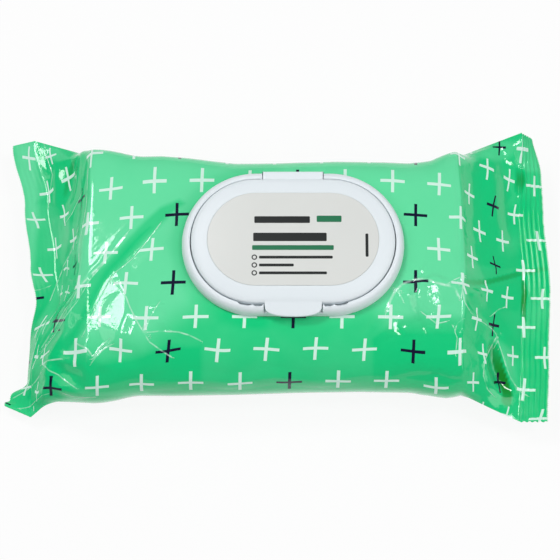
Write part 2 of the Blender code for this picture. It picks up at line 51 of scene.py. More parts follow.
def newObject(name, mesh, material=None):
    made = bpy.data.objects.new(name, mesh)
    collection.objects.link(made)
    if material:
        mesh.materials.clear()
        mesh.materials.append(material)
    return made


# closed mesh from points in millimetres: doubles merged, faces turned outwards
def solidMesh(name, points, faces, sharpAngle):
    mesh = bpy.data.meshes.new(name)
    mesh.from_pydata([tuple(p) for p in np.asarray(points) * mm], [], faces)
    shape = bmesh.new()
    shape.from_mesh(mesh)
    bmesh.ops.remove_doubles(shape, verts=shape.verts, dist=2e-7)
    bmesh.ops.recalc_face_normals(shape, faces=shape.faces)
    shape.to_mesh(mesh)
    shape.free()
    mesh.shade_smooth()
    mesh.set_sharp_from_angle(angle=math.radians(sharpAngle))
    return mesh


# plain mesh of an object with its modifiers worked out
def bakeModifiers(source, name):
    graph = bpy.context.evaluated_depsgraph_get()
    graph.update()
    mesh = bpy.data.meshes.new_from_object(source.evaluated_get(graph))
    mesh.name = name
    source.modifiers.clear()
    return mesh


def pointValues(mesh, name, values, kind="FLOAT"):
    attribute = mesh.attributes.new(name, kind, "POINT")
    key = "vector" if kind == "FLOAT_VECTOR" else "value"
    attribute.data.foreach_set(key, np.asarray(values, np.float32).ravel())


# points of an arc about a place on the x axis, between two angles
def arc(x, radius, start, end, steps):
    turns = [start + (end - start) * k / steps for k in range(steps + 1)]
    return [(x + radius * math.cos(turn), radius * math.sin(turn)) for turn in turns]


def setInputs(tree, node, values):
    for key, value in values.items():
        if isinstance(value, bpy.types.NodeSocket):
            tree.links.new(value, node.inputs[key])
        else:
            node.inputs[key].default_value = value


def addNode(tree, kind, values=None, **settings):
    node = tree.nodes.new(kind)
    for key, value in settings.items():
        setattr(node, key, value)
    setInputs(tree, node, values or {})
    return node


def calc(tree, operation, *values, clamp=False):
    node = addNode(tree, "ShaderNodeMath", dict(enumerate(values)), operation=operation, use_clamp=clamp)
    return node.outputs[0]


def mixColour(tree, share, first, second):
    first, second = (c if isinstance(c, bpy.types.NodeSocket) else (*c, 1) for c in (first, second))
    return addNode(tree, "ShaderNodeMix", {0: share, 6: first, 7: second}, data_type="RGBA").outputs[2]


def newMaterial(name, **constants):
    material = bpy.data.materials.new(name)
    material.use_nodes = True
    tree = material.node_tree
    shader = tree.nodes["Principled BSDF"]
    setInputs(tree, shader, {key.replace("_", " "): value for key, value in constants.items()})
    return material, tree, shader


def noise(tree, place, scale, detail=2, roughness=0.5):
    inputs = {"Vector": place, "Scale": scale, "Detail": detail, "Roughness": roughness}
    return addNode(tree, "ShaderNodeTexNoise", inputs).outputs["Fac"]


def rangeOf(tree, value, low, high, outLow, outHigh):
    inputs = {"Value": value, "From Min": low, "From Max": high, "To Min": outLow, "To Max": outHigh}
    return addNode(tree, "ShaderNodeMapRange", inputs).outputs[0]


def bumpOf(tree, height, distance, strength):
    inputs = {"Height": height, "Distance": distance, "Strength": strength}
    return addNode(tree, "ShaderNodeBump", inputs).outputs[0]


# a plain surface: a soft cloud of two colours, uneven roughness and a fine bump of one or more noises
def plainMaterial(name, look, **constants):
    material, tree, shader = newMaterial(name, **constants)
    place = addNode(tree, "ShaderNodeTexCoord").outputs["Object"]
    inputs = {"Base Color": mixColour(tree, noise(tree, place, *look["cloud"]), *look["colours"])}
    if "roughness" in look:
        scale, low, high = look["roughness"]
        inputs["Roughness"] = rangeOf(tree, noise(tree, place, scale), 0.3, 0.7, low, high)
    height = 0.0
    for scale, detail, share in look["bumps"]:
        height = calc(tree, "ADD", height, calc(tree, "MULTIPLY", noise(tree, place, scale, detail), share))
    inputs["Normal"] = bumpOf(tree, height, look["bumpDistance"], look["bumpStrength"])
    setInputs(tree, shader, inputs)
    return material


# a node group with the named inputs given; returns its tree and its input node
def startGroup(name, inputs):
    tree = bpy.data.node_groups.new(name, "GeometryNodeTree")
    tree.interface.new_socket("Geometry", in_out="INPUT", socket_type="NodeSocketGeometry")
    for key, value in inputs.items():
        kind = "NodeSocketObject" if isinstance(value, bpy.types.Object) else "NodeSocketFloat"
        tree.interface.new_socket(key, in_out="INPUT", socket_type=kind)
    tree.interface.new_socket("Geometry", in_out="OUTPUT", socket_type="NodeSocketGeometry")
    return tree, tree.nodes.new("NodeGroupInput")


def endGroup(tree, geometry, material):
    real = addNode(tree, "GeometryNodeRealizeInstances", {"Geometry": geometry})
    dressed = addNode(tree, "GeometryNodeSetMaterial", {"Geometry": real.outputs[0], "Material": material})
    tree.links.new(dressed.outputs[0], tree.nodes.new("NodeGroupOutput").inputs[0])


# a plain piece out of a raw one: the group's inputs are set before it is first worked out
def runGroup(raw, tree, inputs, name):
    finish = raw.modifiers.new(tree.name, "NODES")
    finish.node_group = tree
    for item in tree.interface.items_tree:
        if item.in_out == "INPUT" and item.name in inputs:
            finish[item.identifier] = inputs[item.name]
    made = newObject(name, bakeModifiers(raw, name))
    bpy.data.objects.remove(raw)
    return made


# the printed film pouch
film = {
    "blockLength": 178, "depth": 110, "height": 45, "frontRound": 22, "backRound": 15,
    "endSlope": 29, "sealWidth": 13, "sealHeight": 20, "sealThickness": 0.6, "sealSpread": 1.5,
    "endFlare": 5, "flareReach": 26, "endDroop": 0.55, "slopeSag": 2.5, "sagOver": 25, "lowerFold": 4,
    "sealRows": 40, "slopeRows": 36, "blockRows": 190,
    "frontSamples": 48, "topSamples": 72, "backSamples": 30, "lowerEvery": 3, "sharpAngle": 55,
    "slopeFilm": 60, "printGather": 0.18, "shiftReach": 8, "shiftHold": 0.15, "seamTo": 12,
    "lidAlong": 8.6, "lidBack": 9.5, "lidStraight": 17.5, "lidRound": 35.5, "lidClear": 1.5, "lidFade": 9,
    "sealFade": 0.04, "sideFade": 6, "slopeFade": 0.12, "undersideLift": 0.3,
    "creaseEnds": 0.1, "creasePower": 0.7, "dentPower": 1.5, "foldFar": 9.0,
    "leftRibs": 0.1, "toothPitch": 0.95, "toothRow": 3, "seed": 7,
}
# share across the pouch, then how far the end fold and the seal stand out, the seal is raised,
# its downward turn in degrees, and how far the seal and its cut edge lie back
leftEnd = (
    (-1.00, 20, 0, -12, 8, 4, 10),
    (-0.86, 22, 0, -10, 35, 2, 5),
    (-0.66, 19, 0, -6, 78, 0, 0),
    (-0.42, 11, -3, -1, 70, 0, 0),
    (-0.15, 5, -13.5, 1, 26, 0, 0),
    (0.12, 3, -11, 0, 16, 0, 0),
    (0.55, 0, -6.5, 0, 22, 0, 0),
    (1.00, 0, 1.5, 1, 30, 0, 0),
)
rightEnd = (
    (-1.00, 0, -0.5, -5, 0, 0, 0),
    (-0.60, 0, 1, -3, 4, 0, 0),
    (0.00, 1, 3, 0, 8, 0, 0),
    (0.45, 0, 1.5, 1, 16, 0, 0),
    (0.75, -1, 2.5, 3, 30, 0.5, 1),
    (1.00, -2, 3.5, 8, 60, 1.5, 3),
)
# slack film that stands out behind and in front of the block: place along the pouch and extra depth
backSlack = (
    (-118, 2), (-92, 3), (-75, 4.5), (-55, 5), (-43, 4), (-32, 2.5), (-20, 1), (-8, 1), (10, 1.5), (30, 2),
    (52, 1.8), (68, 1), (76, 0), (86, 2), (97, 3.5), (112, 3),
)
frontSlack = (
    (-105, 0), (-75, 2.8), (-50, 3), (-20, 2.5), (10, 1.5), (40, 1), (70, 1.5), (82, 0), (95, -4), (107, -4),
    (118, 0),
)
# creases: height, width to the left and to the right of the line, then the line's points (along, across)
creases = (
    (0.3, 16, 12, ((-44, 44), (-54, 36), (-68.9, 22.8), (-78.6, 9.6), (-84, 0.5), (-95, -11), (-108.6, -26.9),
        (-117.4, -36.7))),
    (0.6, 1.6, 1.6, ((-70, 21), (-78.6, 9.6), (-84, 0.5), (-95, -11), (-108.6, -26.9), (-116, -36))),
    (-0.6, 8, 9, ((-50, 22), (-62, 15), (-72, 3), (-80, -9), (-88, -22), (-98, -34))),
    (2.4, 6, 13, ((-74, -5), (-70.5, -14), (-70, -24), (-74, -35), (-80, -43))),
    (0.7, 3, 3, ((-66, -26), (-59, -26.9), (-52, -29), (-47.3, -33), (-38, -35))),
    (0.6, 2, 2.5, ((-58, -22), (-53, -21), (-50, -25))),
    (-1.2, 5, 5, ((-84, -34), (-76, -42), (-66, -44))),
    (0.7, 3, 3, ((-94, -36.7), (-90, -39), (-86, -43.2), (-80, -46))),
    (0.8, 3, 3, ((-112.3, -40.3), (-106, -41), (-101.3, -42.5), (-92, -46))),
    (1.6, 5, 5, ((-114, -43), (-106, -50), (-100, -54.9), (-91, -59.3))),
    (-2.0, 5, 5, ((-110, -50), (-100, -48), (-92, -50))),
    (0.6, 2, 2, ((-89.7, 58.6), (-90.8, 44.1), (-92.4, 29.9), (-94.5, 15.7), (-94.1, 1.5), (-95, -8.7))),
    (1.2, 4, 3, ((-108, 66), (-107.6, 58), (-107.4, 50), (-107.5, 40))),
    (-3.0, 7, 7, ((-103, 66), (-102, 55), (-100.5, 45), (-99.6, 35))),
    (1.2, 4, 4, ((-92, 70), (-94, 60), (-97, 48), (-99, 36), (-100, 22), (-103, 8))),
    (-1.4, 5, 6, ((-98, 30), (-99, 16), (-104, 2), (-112, -14))),
    (0.8, 3, 5, ((-98, -14), (-106, -6), (-112, 6), (-113, 20))),
    (1.2, 2.2, 14, ((50, -27), (55.1, -19.8), (57.4, -16.8), (63.5, -14.8), (71.5, -8.7), (75.4, -6.6),
        (81.2, -8.7), (87.9, -11.7), (90.4, -19.8), (93, -21.8), (99.8, -25.9), (105.9, -30))),
    (2.3, 12, 3, ((69, -8), (66.5, -16), (69, -25))),
    (-2.6, 20, 18, ((40, -42), (56, -36), (72, -30), (88, -33), (100, -40))),
    (-1.3, 5, 5, ((88.9, -9.7), (101.3, -4.6), (114.3, 0.5), (121.9, 4.5), (132.1, 6.5))),
    (0.7, 2.5, 2.5, ((92, -14), (101, -9), (112, -4), (119, -1))),
    (-4.5, 4.5, 5, ((105.9, -31), (106, -38), (107, -45), (110, -53))),
    (1.2, 2, 2, ((105.9, -28.9), (102.3, -35.2), (100.4, -44.7), (102.8, -52.7))),
    (1.2, 2, 2, ((105.9, -28.9), (108.5, -34.5), (112.7, -46.9), (117.5, -53.5))),
    (0.7, 3, 4, ((89.5, 48), (89.5, 30), (89.3, 10), (89, -6))),
    (-1.6, 7, 8, ((96, 60), (97, 40), (96, 20), (98, 4))),
    (1.3, 6, 6, ((104, 66), (106, 46), (107, 26), (112, 10))),
    (-1.2, 5, 6, ((113, 62), (115, 40), (116, 20))),
    (-1.5, 8, 8, ((60, -56), (76, -52), (92, -56))),
    (1.0, 5, 6, ((-58, -58), (-40, -54), (-20, -57), (0, -54), (22, -58), (44, -54))),
)
# sharp fold lines, slightly raised and whitened, the white partly the creased film's own and partly a painted
# highlight: half width, then points (along, across)
foldLines = (
    (0.65, ((-70.6, 15.7), (-75.7, 8.6), (-81.1, 1.5), (-86.8, -4.6), (-92.8, -10.7), (-96.4, -15.8),
        (-102.3, -22.9), (-107.5, -28.9), (-112.1, -33.7))),
    (0.35, ((-81.2, 0.5), (-87, -6.6), (-93.8, -17.8), (-100.4, -25.9), (-105.6, -31), (-112.6, -36.7))),
    (0.35, ((-54.9, 20.7), (-61.3, 11.6), (-67.4, 3.5), (-77.3, -5.6), (-80.7, -12.7), (-84.4, -19.8),
        (-88.2, -30), (-90.4, -34.5))),
    (0.5, ((-77.4, -7.7), (-73.8, -11.7), (-70.4, -16.8), (-68.5, -21.8), (-66, -26.9), (-62.3, -33),
        (-59.7, -33.7), (-53.6, -33.2), (-45.6, -33.7), (-40.2, -35.2), (-35.2, -37.4))),
    (0.45, ((-62.3, -33), (-59, -38.1), (-51.7, -42.5), (-48.8, -44))),
    (0.3, ((-54.6, -18.8), (-57.1, -22.9), (-59, -26.9), (-60.9, -32))),
    (0.5, ((-93, -38.1), (-88, -40.3), (-85.5, -42.8), (-82.4, -39.6), (-79, -37.4))),
    (0.4, ((-86.2, -44.7), (-83.7, -42.5), (-80.7, -40.3), (-76.8, -38.8))),
    (0.4, ((-100.7, -42.5), (-107, -42.5), (-111.2, -42.5), (-107.5, -46.1), (-103, -48.3), (-98.9, -51.3),
        (-93.8, -54.9))),
    (0.3, ((-93.7, 39), (-96.8, 33.9), (-99, 29.9), (-101.9, 26.8))),
    (0.3, ((-90.6, 50.4), (-90.6, 43.1), (-90.8, 30.9), (-92.5, 20.7), (-93.9, 12.6), (-93.9, 2.5))),
    (0.35, ((-114.4, 70), (-112.6, 60.7), (-110, 52.4), (-111.2, 43.1), (-111.8, 37))),
    (0.35, ((-95.1, 21.8), (-96.9, 16.7), (-99.2, 11.6), (-102.9, 6.5), (-106.5, -2.6), (-109.3, -9.7))),
    (0.4, ((-117.3, -3.6), (-114.6, -3.6), (-109.8, -2.6))),
    (0.35, ((-101.7, -56.4), (-96.3, -60), (-90.4, -62.2), (-85.2, -62.2))),
    (0.9, ((52.7, -23.9), (54.3, -18.8), (56.8, -13.7), (60.8, -9.7), (65.7, -7.7), (71.5, -7.7), (76.3, -9.7),
        (81.1, -10.7), (85, -11.7), (86.7, -15.8))),
    (0.4, ((81.1, -10.7), (85.1, -7.7), (90, -5.6), (88.9, -12.7), (89.8, -18.8), (93, -22.9), (97.9, -24.9),
        (104.1, -26.9), (107.1, -30))),
    (0.4, ((106.4, -30), (108.8, -36.7), (111.3, -44), (113.7, -49.1), (117.5, -53.5), (121.1, -55.6))),
    (0.4, ((106.4, -30), (103.5, -35.2), (99.6, -43.2), (99.3, -49.8), (101.6, -56.4), (104.8, -59.3))),
    (0.35, ((111.2, -14.8), (107.5, -16.8), (103.8, -20.8))),
    (0.4, ((69.5, -23.9), (72.4, -25.9), (76.3, -28.9), (81.3, -27.9))),
    (0.35, ((88.9, -26.9), (86.2, -28.9), (85.1, -32))),
    (0.5, ((56, -11.5), (59, -14.5), (60.5, -18))),
    (0.5, ((-120, -38), (-126, -45), (-131, -50))),
    (0.35, ((-111, -20), (-114, -27), (-117, -35), (-119, -42))),
    (0.4, ((-112, -46), (-119, -52), (-127, -58))),
    (0.4, ((-108, -58), (-116, -60), (-124, -66))),
    (0.3, ((84, -30), (86, -36), (85, -43))),
)
# tone of the film, paler where it lies on the white sheets, with patches of painted light and painted shade where
# the film faces towards or away from the lamps: change, soft edge and outline's points
sheetAndLightPatches = (
    (-0.7, 1.5, ((-46.1, 32.9), (-55, 28.8), (-62.4, 21.8), (-69.8, 13.6), (-75.8, 6.5), (-81.4, -0.6),
        (-86.9, -5.6), (-93, -12.7), (-98.5, -19.8), (-105.8, -25.9), (-111.9, -32), (-114, -38.8),
        (-107.2, -43.2), (-101, -41), (-94.4, -37.4), (-88.6, -31), (-86.9, -26.9), (-84.9, -18.8),
        (-81.5, -11.7), (-77.3, -5.6), (-67.3, 4.5), (-62.3, 11.6), (-56.1, 18.7), (-50.7, 24.8),
        (-43.5, 30.9))),
    (-0.3, 2, ((-59.9, 18.7), (-70, 6.5), (-78, -3.6), (-83.6, -12.7), (-88.1, -23.9), (-93.4, -33),
        (-98.9, -38.1), (-95.8, -32), (-90.4, -21.8), (-85.4, -11.7), (-80.9, -3.6), (-73, 5.5), (-65, 14.7))),
    (-0.3, 3, ((-115, -40), (-93, -40), (-81, -45), (-65, -44), (-51, -41), (-35, -40), (-36, -68), (-90, -68),
        (-101, -59), (-110, -47))),
    (0.4, 1.5, ((-98.5, -52.7), (-90.8, -60.8), (-78.7, -62.9), (-60, -68.1), (-59.2, -60.8), (-78.4, -58.6),
        (-87.8, -57.1), (-94, -52.7))),
    (-0.32, 1.2, ((-108, 57.6), (-101.2, 61.7), (-92.8, 53.5), (-90.7, 46.2), (-93.2, 31.9), (-96.5, 24.8),
        (-101.8, 31.9), (-108.4, 38), (-108.3, 47.2))),
    (0.35, 2, ((-129.9, 71.1), (-120.5, 70), (-116.7, 60.7), (-113, 50.4), (-113.5, 43.1), (-121.3, 40),
        (-125.5, 52.4))),
    (0.4, 1.5, ((-117.8, 70), (-107.6, 70), (-92.8, 53.5), (-100.5, 61.7), (-106.2, 57.6), (-112.1, 61.7))),
    (-0.2, 1.2, ((-116.4, 59.7), (-112.6, 60.7), (-109.3, 54.5), (-107.8, 44.1), (-109, 38), (-112.6, 43.1),
        (-113.4, 51.4))),
    (0.15, 2, ((-121.3, 39), (-110.8, 38), (-106.2, 31.9), (-97.6, 23.8), (-102.6, 8.6), (-107.8, -0.6),
        (-117.6, -2.6), (-120.3, 16.7))),
    (0.4, 1.5, ((-94.7, 16.7), (-91.6, 22.8), (-92.8, 1.5), (-95.6, -9.7), (-102.6, -12.7), (-108.4, -20.8),
        (-112.3, -27.9), (-115.3, -18.8), (-109.3, -9.7), (-104.3, 0.5), (-100.7, 10.6))),
    (-0.5, 3, ((-112, -30), (-120, -34), (-124, -50), (-112, -54), (-104, -44))),
    # painted light on the upper part of the left seal
    (0.65, 2.5, ((-119, 74), (-134, 74), (-132, -6), (-119, -6), (-117, 30))),
    (-0.25, 2, ((-117, -42.5), (-109.3, -44.7), (-102.8, -47.6), (-98.7, -56.4), (-102.2, -61.5), (-113, -63.7),
        (-119.5, -57.1), (-116.6, -50.5))),
    (-0.3, 1.2, ((90, 48.3), (96.5, 51.4), (102.5, 55.5), (107.3, 54.5), (113, 48.3), (116.2, 42.1),
        (112.5, 37), (102.7, 28.8), (93.6, 25.8), (89.3, 24.8))),
    (-0.1, 1.5, ((89.3, 24.8), (93.6, 25.8), (102.7, 28.8), (107.6, 24.8), (109.7, 17.7), (106.3, 9.6),
        (100.8, 5.5), (93, 2.5), (89.1, 1.5))),
    (0.22, 1.5, ((89.1, 0.5), (98.8, 3.5), (108.9, 3.5), (118.2, 6.5), (113.6, 0.5), (103.7, -2.6),
        (92.9, -5.6))),
    (-0.12, 1.2, ((88.8, -10.7), (103.8, -4.6), (117.1, 1.5), (119.3, -5.6), (117.9, -14.8), (103.9, -17.8),
        (96.9, -22.9), (91.5, -20.8))),
    (0.4, 2, ((84.3, 52.4), (97.5, 71.1), (111, 71.1), (121.1, 65.9), (115.3, 59.7), (108.2, 56.6),
        (100.5, 57.6), (92.4, 49.3), (83.4, 49.3))),
    (0.4, 1.5, ((120.5, 68), (128, 71.1), (129.8, 62.8), (131.5, 55.5), (125.2, 54.5), (119.7, 55.5))),
    # painted shade on the front-facing slope below the right arch
    (-0.5, 3, ((47.3, -37.4), (59.4, -26.9), (68.6, -23.9), (80.4, -24.9), (89.7, -26.9), (97.5, -27.9),
        (103.9, -30), (99.4, -47.6), (100.9, -60), (83.8, -68.1), (64, -65.9), (48.3, -66.6))),
    # a painted highlight: the pale glare in the dent below the right arch
    (0.5, 1, ((71.4, -10.7), (77.2, -12.7), (78.9, -16.8), (76.6, -21.8), (70.6, -22.9), (67.9, -19.8),
        (67.4, -13.7))),
    (0.3, 1.5, ((107, -31), (114, -35), (118, -53), (113, -50), (109, -40))),
)
# painted shade in folds, partly the darker green of two layers of film: depth of the shade, half width and line
# (along, across)
shadeLines = (
    (0.95, 2.6, ((105.5, -36), (107, -42), (109.5, -49), (111.5, -56), (111, -60))),
    (0.45, 1.2, ((89.7, -8.7), (103.6, -3.6), (117.1, 2.5), (132.4, 6.5))),
    (0.85, 1.3, ((120.8, 0.5), (121.3, -6), (120.5, -13), (120.6, -20))),
    (0.6, 2.4, ((120.9, 54), (121.1, 49.3), (120, 45))),
    (0.5, 1.2, ((-99, 58), (-101, 50), (-103, 42))),
)
# how far the print lies from where flat film would carry it: place (along, across), then the shift
printShifts = (
    (-79, 38, -2.5, 4.7), (-101, 36, -3.4, 6.5), (-126, 32, -1.2, 10), (-150, 17, 9, 8), (-89, 20, -4, 5.8),
    (-115, 17, -0.7, 8), (-69, 24, -1.5, 1.7), (-127, 53, 11, 7), (-150, 50, 11, 9), (-89, 49, -3.2, 9),
    (-81, 5.5, -1.6, 2.8), (-110, 3, 4.5, 5.7), (-93, -11, -1.2, 1.8), (-127, -25, 17, -1),
    (-94, -42, -1.5, -1.4), (-84, -53, -0.4, -6.9), (-106, -52, -1, -8), (-58, 42, 0, 0.6),
    (-71, -10, -0.5, 0.8), (-61, -27, 0.8, 0.9), (-137, 70, 10, 6), (-64, -57, 2.3, -3.3), (-40, -55, 1.8, -5),
    (-10, -55, 1.5, -4), (20, -55, 1, -4), (50, -55, 1, -3), (79, 41, 0.5, 1.6), (99, 39, 3.9, 3.5),
    (121, 37, 5, 5.5), (144, 37, 4.8, 5.5), (91, 51, 0.4, 8), (118, 55, -3.7, 4.9), (140, 56, -2.8, 4),
    (157, 56, 4, 4), (130, 74, -3.3, 2.9), (89, 24, 1.6, 1.7), (108, 21, 6, 4.7), (127, 19, 9, 6.9),
    (158, 24, 1.7, 1), (100, 6, 2, 2.6), (150, 5, -2.2, 3), (114, -9, -1.8, 0.5), (131, -12, 4.8, 3),
    (157, -10, 1.3, 1.4), (106, -25, -5, -1), (116, -28, 7, 1.9), (150, -27, -3.6, 0.9), (87, -42, 1.8, -1.4),
    (141, -44, -6, 0.8), (101, -56, -1, -4.3), (132, -55, -8, -4.5), (151, -63, -5, 2.7),
)
# height, radius and place of small dents
dents = ((-0.7, 5, 62, -30), (0.8, 5, 96, -14))
# share of crumple at both ends, at two corners (share, place and radii) and at the front and back (share,
# side, start and width), then its facets (height and size) and where the small wrinkles are calmed
crumpleAt = {
    "least": 0.05, "ends": 0.8, "endsFrom": 84, "endsOver": 12,
    "corners": ((0.4, -78, -30, 24, 18), (0.7, 84, -28, 26, 20)),
    "sides": ((0.3, -1, 38, 12), (0.25, 1, 42, 10)),
    "facets": ((0.75, 13), (0.22, 5)), "under": 0.35, "underSize": 11, "underSeed": 3, "underOver": 0.3,
    "calm": 0.7, "calmFrom": 88, "calmOver": 8,
}
# how pale the film looks: 1 on the white sheets, 0 where it stands off them, below 0 in painted shade; the front,
# the end slopes and the film beside the lid carry painted shade and shadow; facets have a share, a size and a seed
toneOf = {
    "lower": 0.75, "lowerSlope": 0.5, "lowerFacets": (0.08, 12, 11),
    "frontFrom": ((-62, 28), (-38, 10), (45, 10), (62, 22)), "frontShade": 0.82, "frontOver": 22,
    "backFrom": 46, "backFall": 0.35, "backOver": 12, "lidShadow": 0.35, "lidReach": 9, "lidOver": 20,
    "leftSlopeShadeTone": 0.13, "rightSlopeShadeTone": 0.04, "slopeFacets": (0.2, 14, 21), "facets": (0.05, 9, 31),
    "shadeFrom": 1.2, "shadeOver": 0.5, "shadeEnds": 0.15,
}
# loss of gloss on the seals and in the lower left corner
dullAt = {
    "seal": 0.6, "sealOver": 0.08, "corner": 0.8, "along": -98, "alongOver": 6, "across": -14, "acrossOver": 8,
}
# the warped lattice of the crumple's facets
lattice = {"cells": 64, "bend": 0.35, "bends": (1.3, 1.1), "wobble": 0.2, "wobbles": (2.9, 3.3)}


def alongRows(rows, column, share):
    places = np.array([row[0] for row in rows])
    values = np.array([row[column] for row in rows], float)
    before = np.clip(np.searchsorted(places, share, side="right") - 1, 0, len(rows) - 2)
    eased = smoothStep((share - places[before]) / (places[before + 1] - places[before]))
    return values[before] + (values[before + 1] - values[before]) * eased


def sideRound(across):
    return np.where(across < 0, film["frontRound"], film["backRound"])


def halfGirth(edgeRound):
    return film["depth"] / 2 - edgeRound + edgeRound * np.pi / 2 + film["height"] / 2 - edgeRound


def section(across):
    edgeRound = sideRound(across)
    flat = film["depth"] / 2 - edgeRound
    pastFlat = np.abs(across) - flat
    angle = np.clip(pastFlat / edgeRound, 0, np.pi / 2)
    y = np.minimum(np.abs(across), flat) + edgeRound * np.sin(angle)
    fall = edgeRound * (1 - np.cos(angle)) + np.maximum(pastFlat - edgeRound * np.pi / 2, 0)
    return np.sign(across) * y, film["height"] - fall


def acrossSamples():
    frontFlat = film["frontRound"] - film["depth"] / 2
    backFlat = film["depth"] / 2 - film["backRound"]
    front = np.linspace(-halfGirth(film["frontRound"]), frontFlat, film["frontSamples"] + 1)
    top = np.linspace(frontFlat, backFlat, film["topSamples"] + 1)
    back = np.linspace(backFlat, halfGirth(film["backRound"]), film["backSamples"] + 1)
    return np.concatenate([front, top[1:], back[1:]])


def flare(x, across):
    nearEnd = smoothStep((np.abs(x) - film["blockLength"] / 2 + film["flareReach"]) / film["flareReach"])
    pastFlat = np.abs(across) - (film["depth"] / 2 - sideRound(across))
    behind = np.interp(x, *zip(*backSlack))
    before = np.interp(x, *zip(*frontSlack))
    outwards = film["endFlare"] * nearEnd + np.where(across > 0, behind, before)
    return np.sign(across) * outwards * smoothStep(pastFlat / sideRound(across))


# end fold, seal and cut edge of one end, each as points across the pouch
def endEdges(rows, side, across, lower):
    share = np.where(across < 0, across / halfGirth(film["frontRound"]), across / halfGirth(film["backRound"]))
    foldOut = alongRows(rows, 1, share)
    if lower:
        foldOut = foldOut * share ** film["lowerFold"]
    y, z = section(across)
    if lower:
        z = film["height"] - z
    sealZ = film["sealHeight"] + alongRows(rows, 3, share)
    sunk = film["endDroop"] * np.clip(foldOut / film["endSlope"], 0, 1)
    foldX = side * (film["blockLength"] / 2 + foldOut)
    fold = np.stack([foldX, y + flare(foldX, across), z + sunk * (sealZ - z)], axis=-1)
    sealX = side * (film["blockLength"] / 2 + film["endSlope"] + alongRows(rows, 2, share))
    sealY = across + share * film["sealSpread"] + alongRows(rows, 5, share)
    seal = np.stack([sealX, sealY, sealZ], axis=-1)
    turn = np.radians(alongRows(rows, 4, share))
    reachY = alongRows(rows, 6, share) - alongRows(rows, 5, share)
    reach = np.stack([side * film["sealWidth"] * np.cos(turn), reachY, -film["sealWidth"] * np.sin(turn)], axis=-1)
    return fold, seal, seal + reach


# rows of points from the left cut edge to the right one, with each point's place on the flat film
def filmSheet(across, lower):
    leftFold, leftSeal, leftEdge = endEdges(leftEnd, -1, across, lower)
    rightFold, rightSeal, rightEdge = endEdges(rightEnd, 1, across, lower)
    y, z = section(across)
    if lower:
        z = film["height"] - z
    sealFilm = film["blockLength"] / 2 + film["slopeFilm"]
    points, along, fin, slope = [], [], [], []

    def addRow(row, u, finShare, slopeShare):
        points.append(row)
        along.append(u)
        fin.append(finShare)
        slope.append(slopeShare)

    def addSlope(fold, seal, side, shares):
        for t in shares:
            row = fold + (seal - fold) * t
            if not lower:
                sag = film["slopeSag"] * 4 * t * (1 - t)
                row[:, 2] -= sag * np.clip((fold[:, 2] - seal[:, 2]) / film["sagOver"], 0, 1)
            addRow(row, fold[:, 0] + (side * sealFilm - fold[:, 0]) * t, 0, t)

    ones = np.ones_like(across)
    finShares = np.linspace(1, 0, film["sealRows"] + 1)
    slopeShares = np.linspace(1, 0, film["slopeRows"] + 1)
    for t in finShares[:-1]:
        addRow(leftSeal + (leftEdge - leftSeal) * t, -ones * (sealFilm + film["sealWidth"] * t), t, 1)
    addSlope(leftFold, leftSeal, -1, slopeShares[:-1])
    for t in np.linspace(0, 1, film["blockRows"] + 1):
        x = leftFold[:, 0] + (rightFold[:, 0] - leftFold[:, 0]) * t
        past = np.clip((np.abs(x) - film["blockLength"] / 2) / film["endSlope"], 0, 1)
        endZ = np.where(x < 0, leftSeal[:, 2], rightSeal[:, 2])
        rowZ = z + film["endDroop"] * past * (endZ - z)
        addRow(np.stack([x, y + flare(x, across), rowZ], axis=-1), x, 0, 0)
    addSlope(rightFold, rightSeal, 1, slopeShares[::-1][1:])
    for t in finShares[::-1][1:]:
        addRow(rightSeal + (rightEdge - rightSeal) * t, ones * (sealFilm + film["sealWidth"] * t), t, 1)
    return np.array(points), np.array(along), np.array(fin), np.array(slope)


def gridNormals(grid, lower):
    along = np.gradient(grid, axis=0)
    over = np.gradient(grid, axis=1)
    normal = np.cross(along, over)
    normal /= np.linalg.norm(normal, axis=-1, keepdims=True) + 1e-9
    return -normal if lower else normal


# distance from a line, whether it is on the line's right-hand side, and the share reached along it
def lineDistance(x, across, points):
    nearest = np.full(x.shape, 1e9)
    side = np.zeros(x.shape)
    reached = np.zeros(x.shape)
    steps = len(points) - 1
    for i in range(steps):
        (x0, a0), (x1, a1) = points[i], points[i + 1]
        dx, da = x1 - x0, a1 - a0
        share = np.clip(((x - x0) * dx + (across - a0) * da) / (dx * dx + da * da), 0, 1)
        away = np.hypot(x - x0 - share * dx, across - a0 - share * da)
        closer = away < nearest
        nearest = np.where(closer, away, nearest)
        side = np.where(closer, (x - x0) * da - (across - a0) * dx, side)
        reached = np.where(closer, (i + share) / steps, reached)
    return nearest, side > 0, reached


# crumpled sheet: random heights on a warped triangular lattice, flat in between, from -1 to 1
def facets(x, y, size, seed):
    cells = lattice["cells"]
    heights = np.random.default_rng(seed).uniform(-1, 1, (cells, cells))

    def warped(value, other, i, turn):
        bend = lattice["bend"] * np.sin(other / size * lattice["bends"][i] + turn)
        return value + size * (bend + lattice["wobble"] * np.sin(other / size * lattice["wobbles"][i]))

    warpX, warpY = warped(x, y, 0, seed), warped(y, x, 1, 2 * seed)
    a = (warpX - warpY / math.sqrt(3)) / size
    b = 2 * warpY / math.sqrt(3) / size
    i, j = np.floor(a).astype(int), np.floor(b).astype(int)
    fa, fb = a - i, b - j

    def height(p, q):
        return heights[p % cells, q % cells]

    low = height(i, j) + fa * (height(i + 1, j) - height(i, j)) + fb * (height(i, j + 1) - height(i, j))
    far = height(i + 1, j + 1)
    high = far + (1 - fa) * (height(i, j + 1) - far) + (1 - fb) * (height(i + 1, j) - far)
    return np.where(fa + fb < 1, low, high)


def blob(x, y, cx, cy, rx, ry):
    return np.exp(-(((x - cx) / rx) ** 2 + ((y - cy) / ry) ** 2))


def lidDistance(x, y):
    offLine = np.maximum(np.abs(x - film["lidAlong"]) - film["lidStraight"], 0)
    return np.hypot(offLine, y - film["lidBack"]) - film["lidRound"]


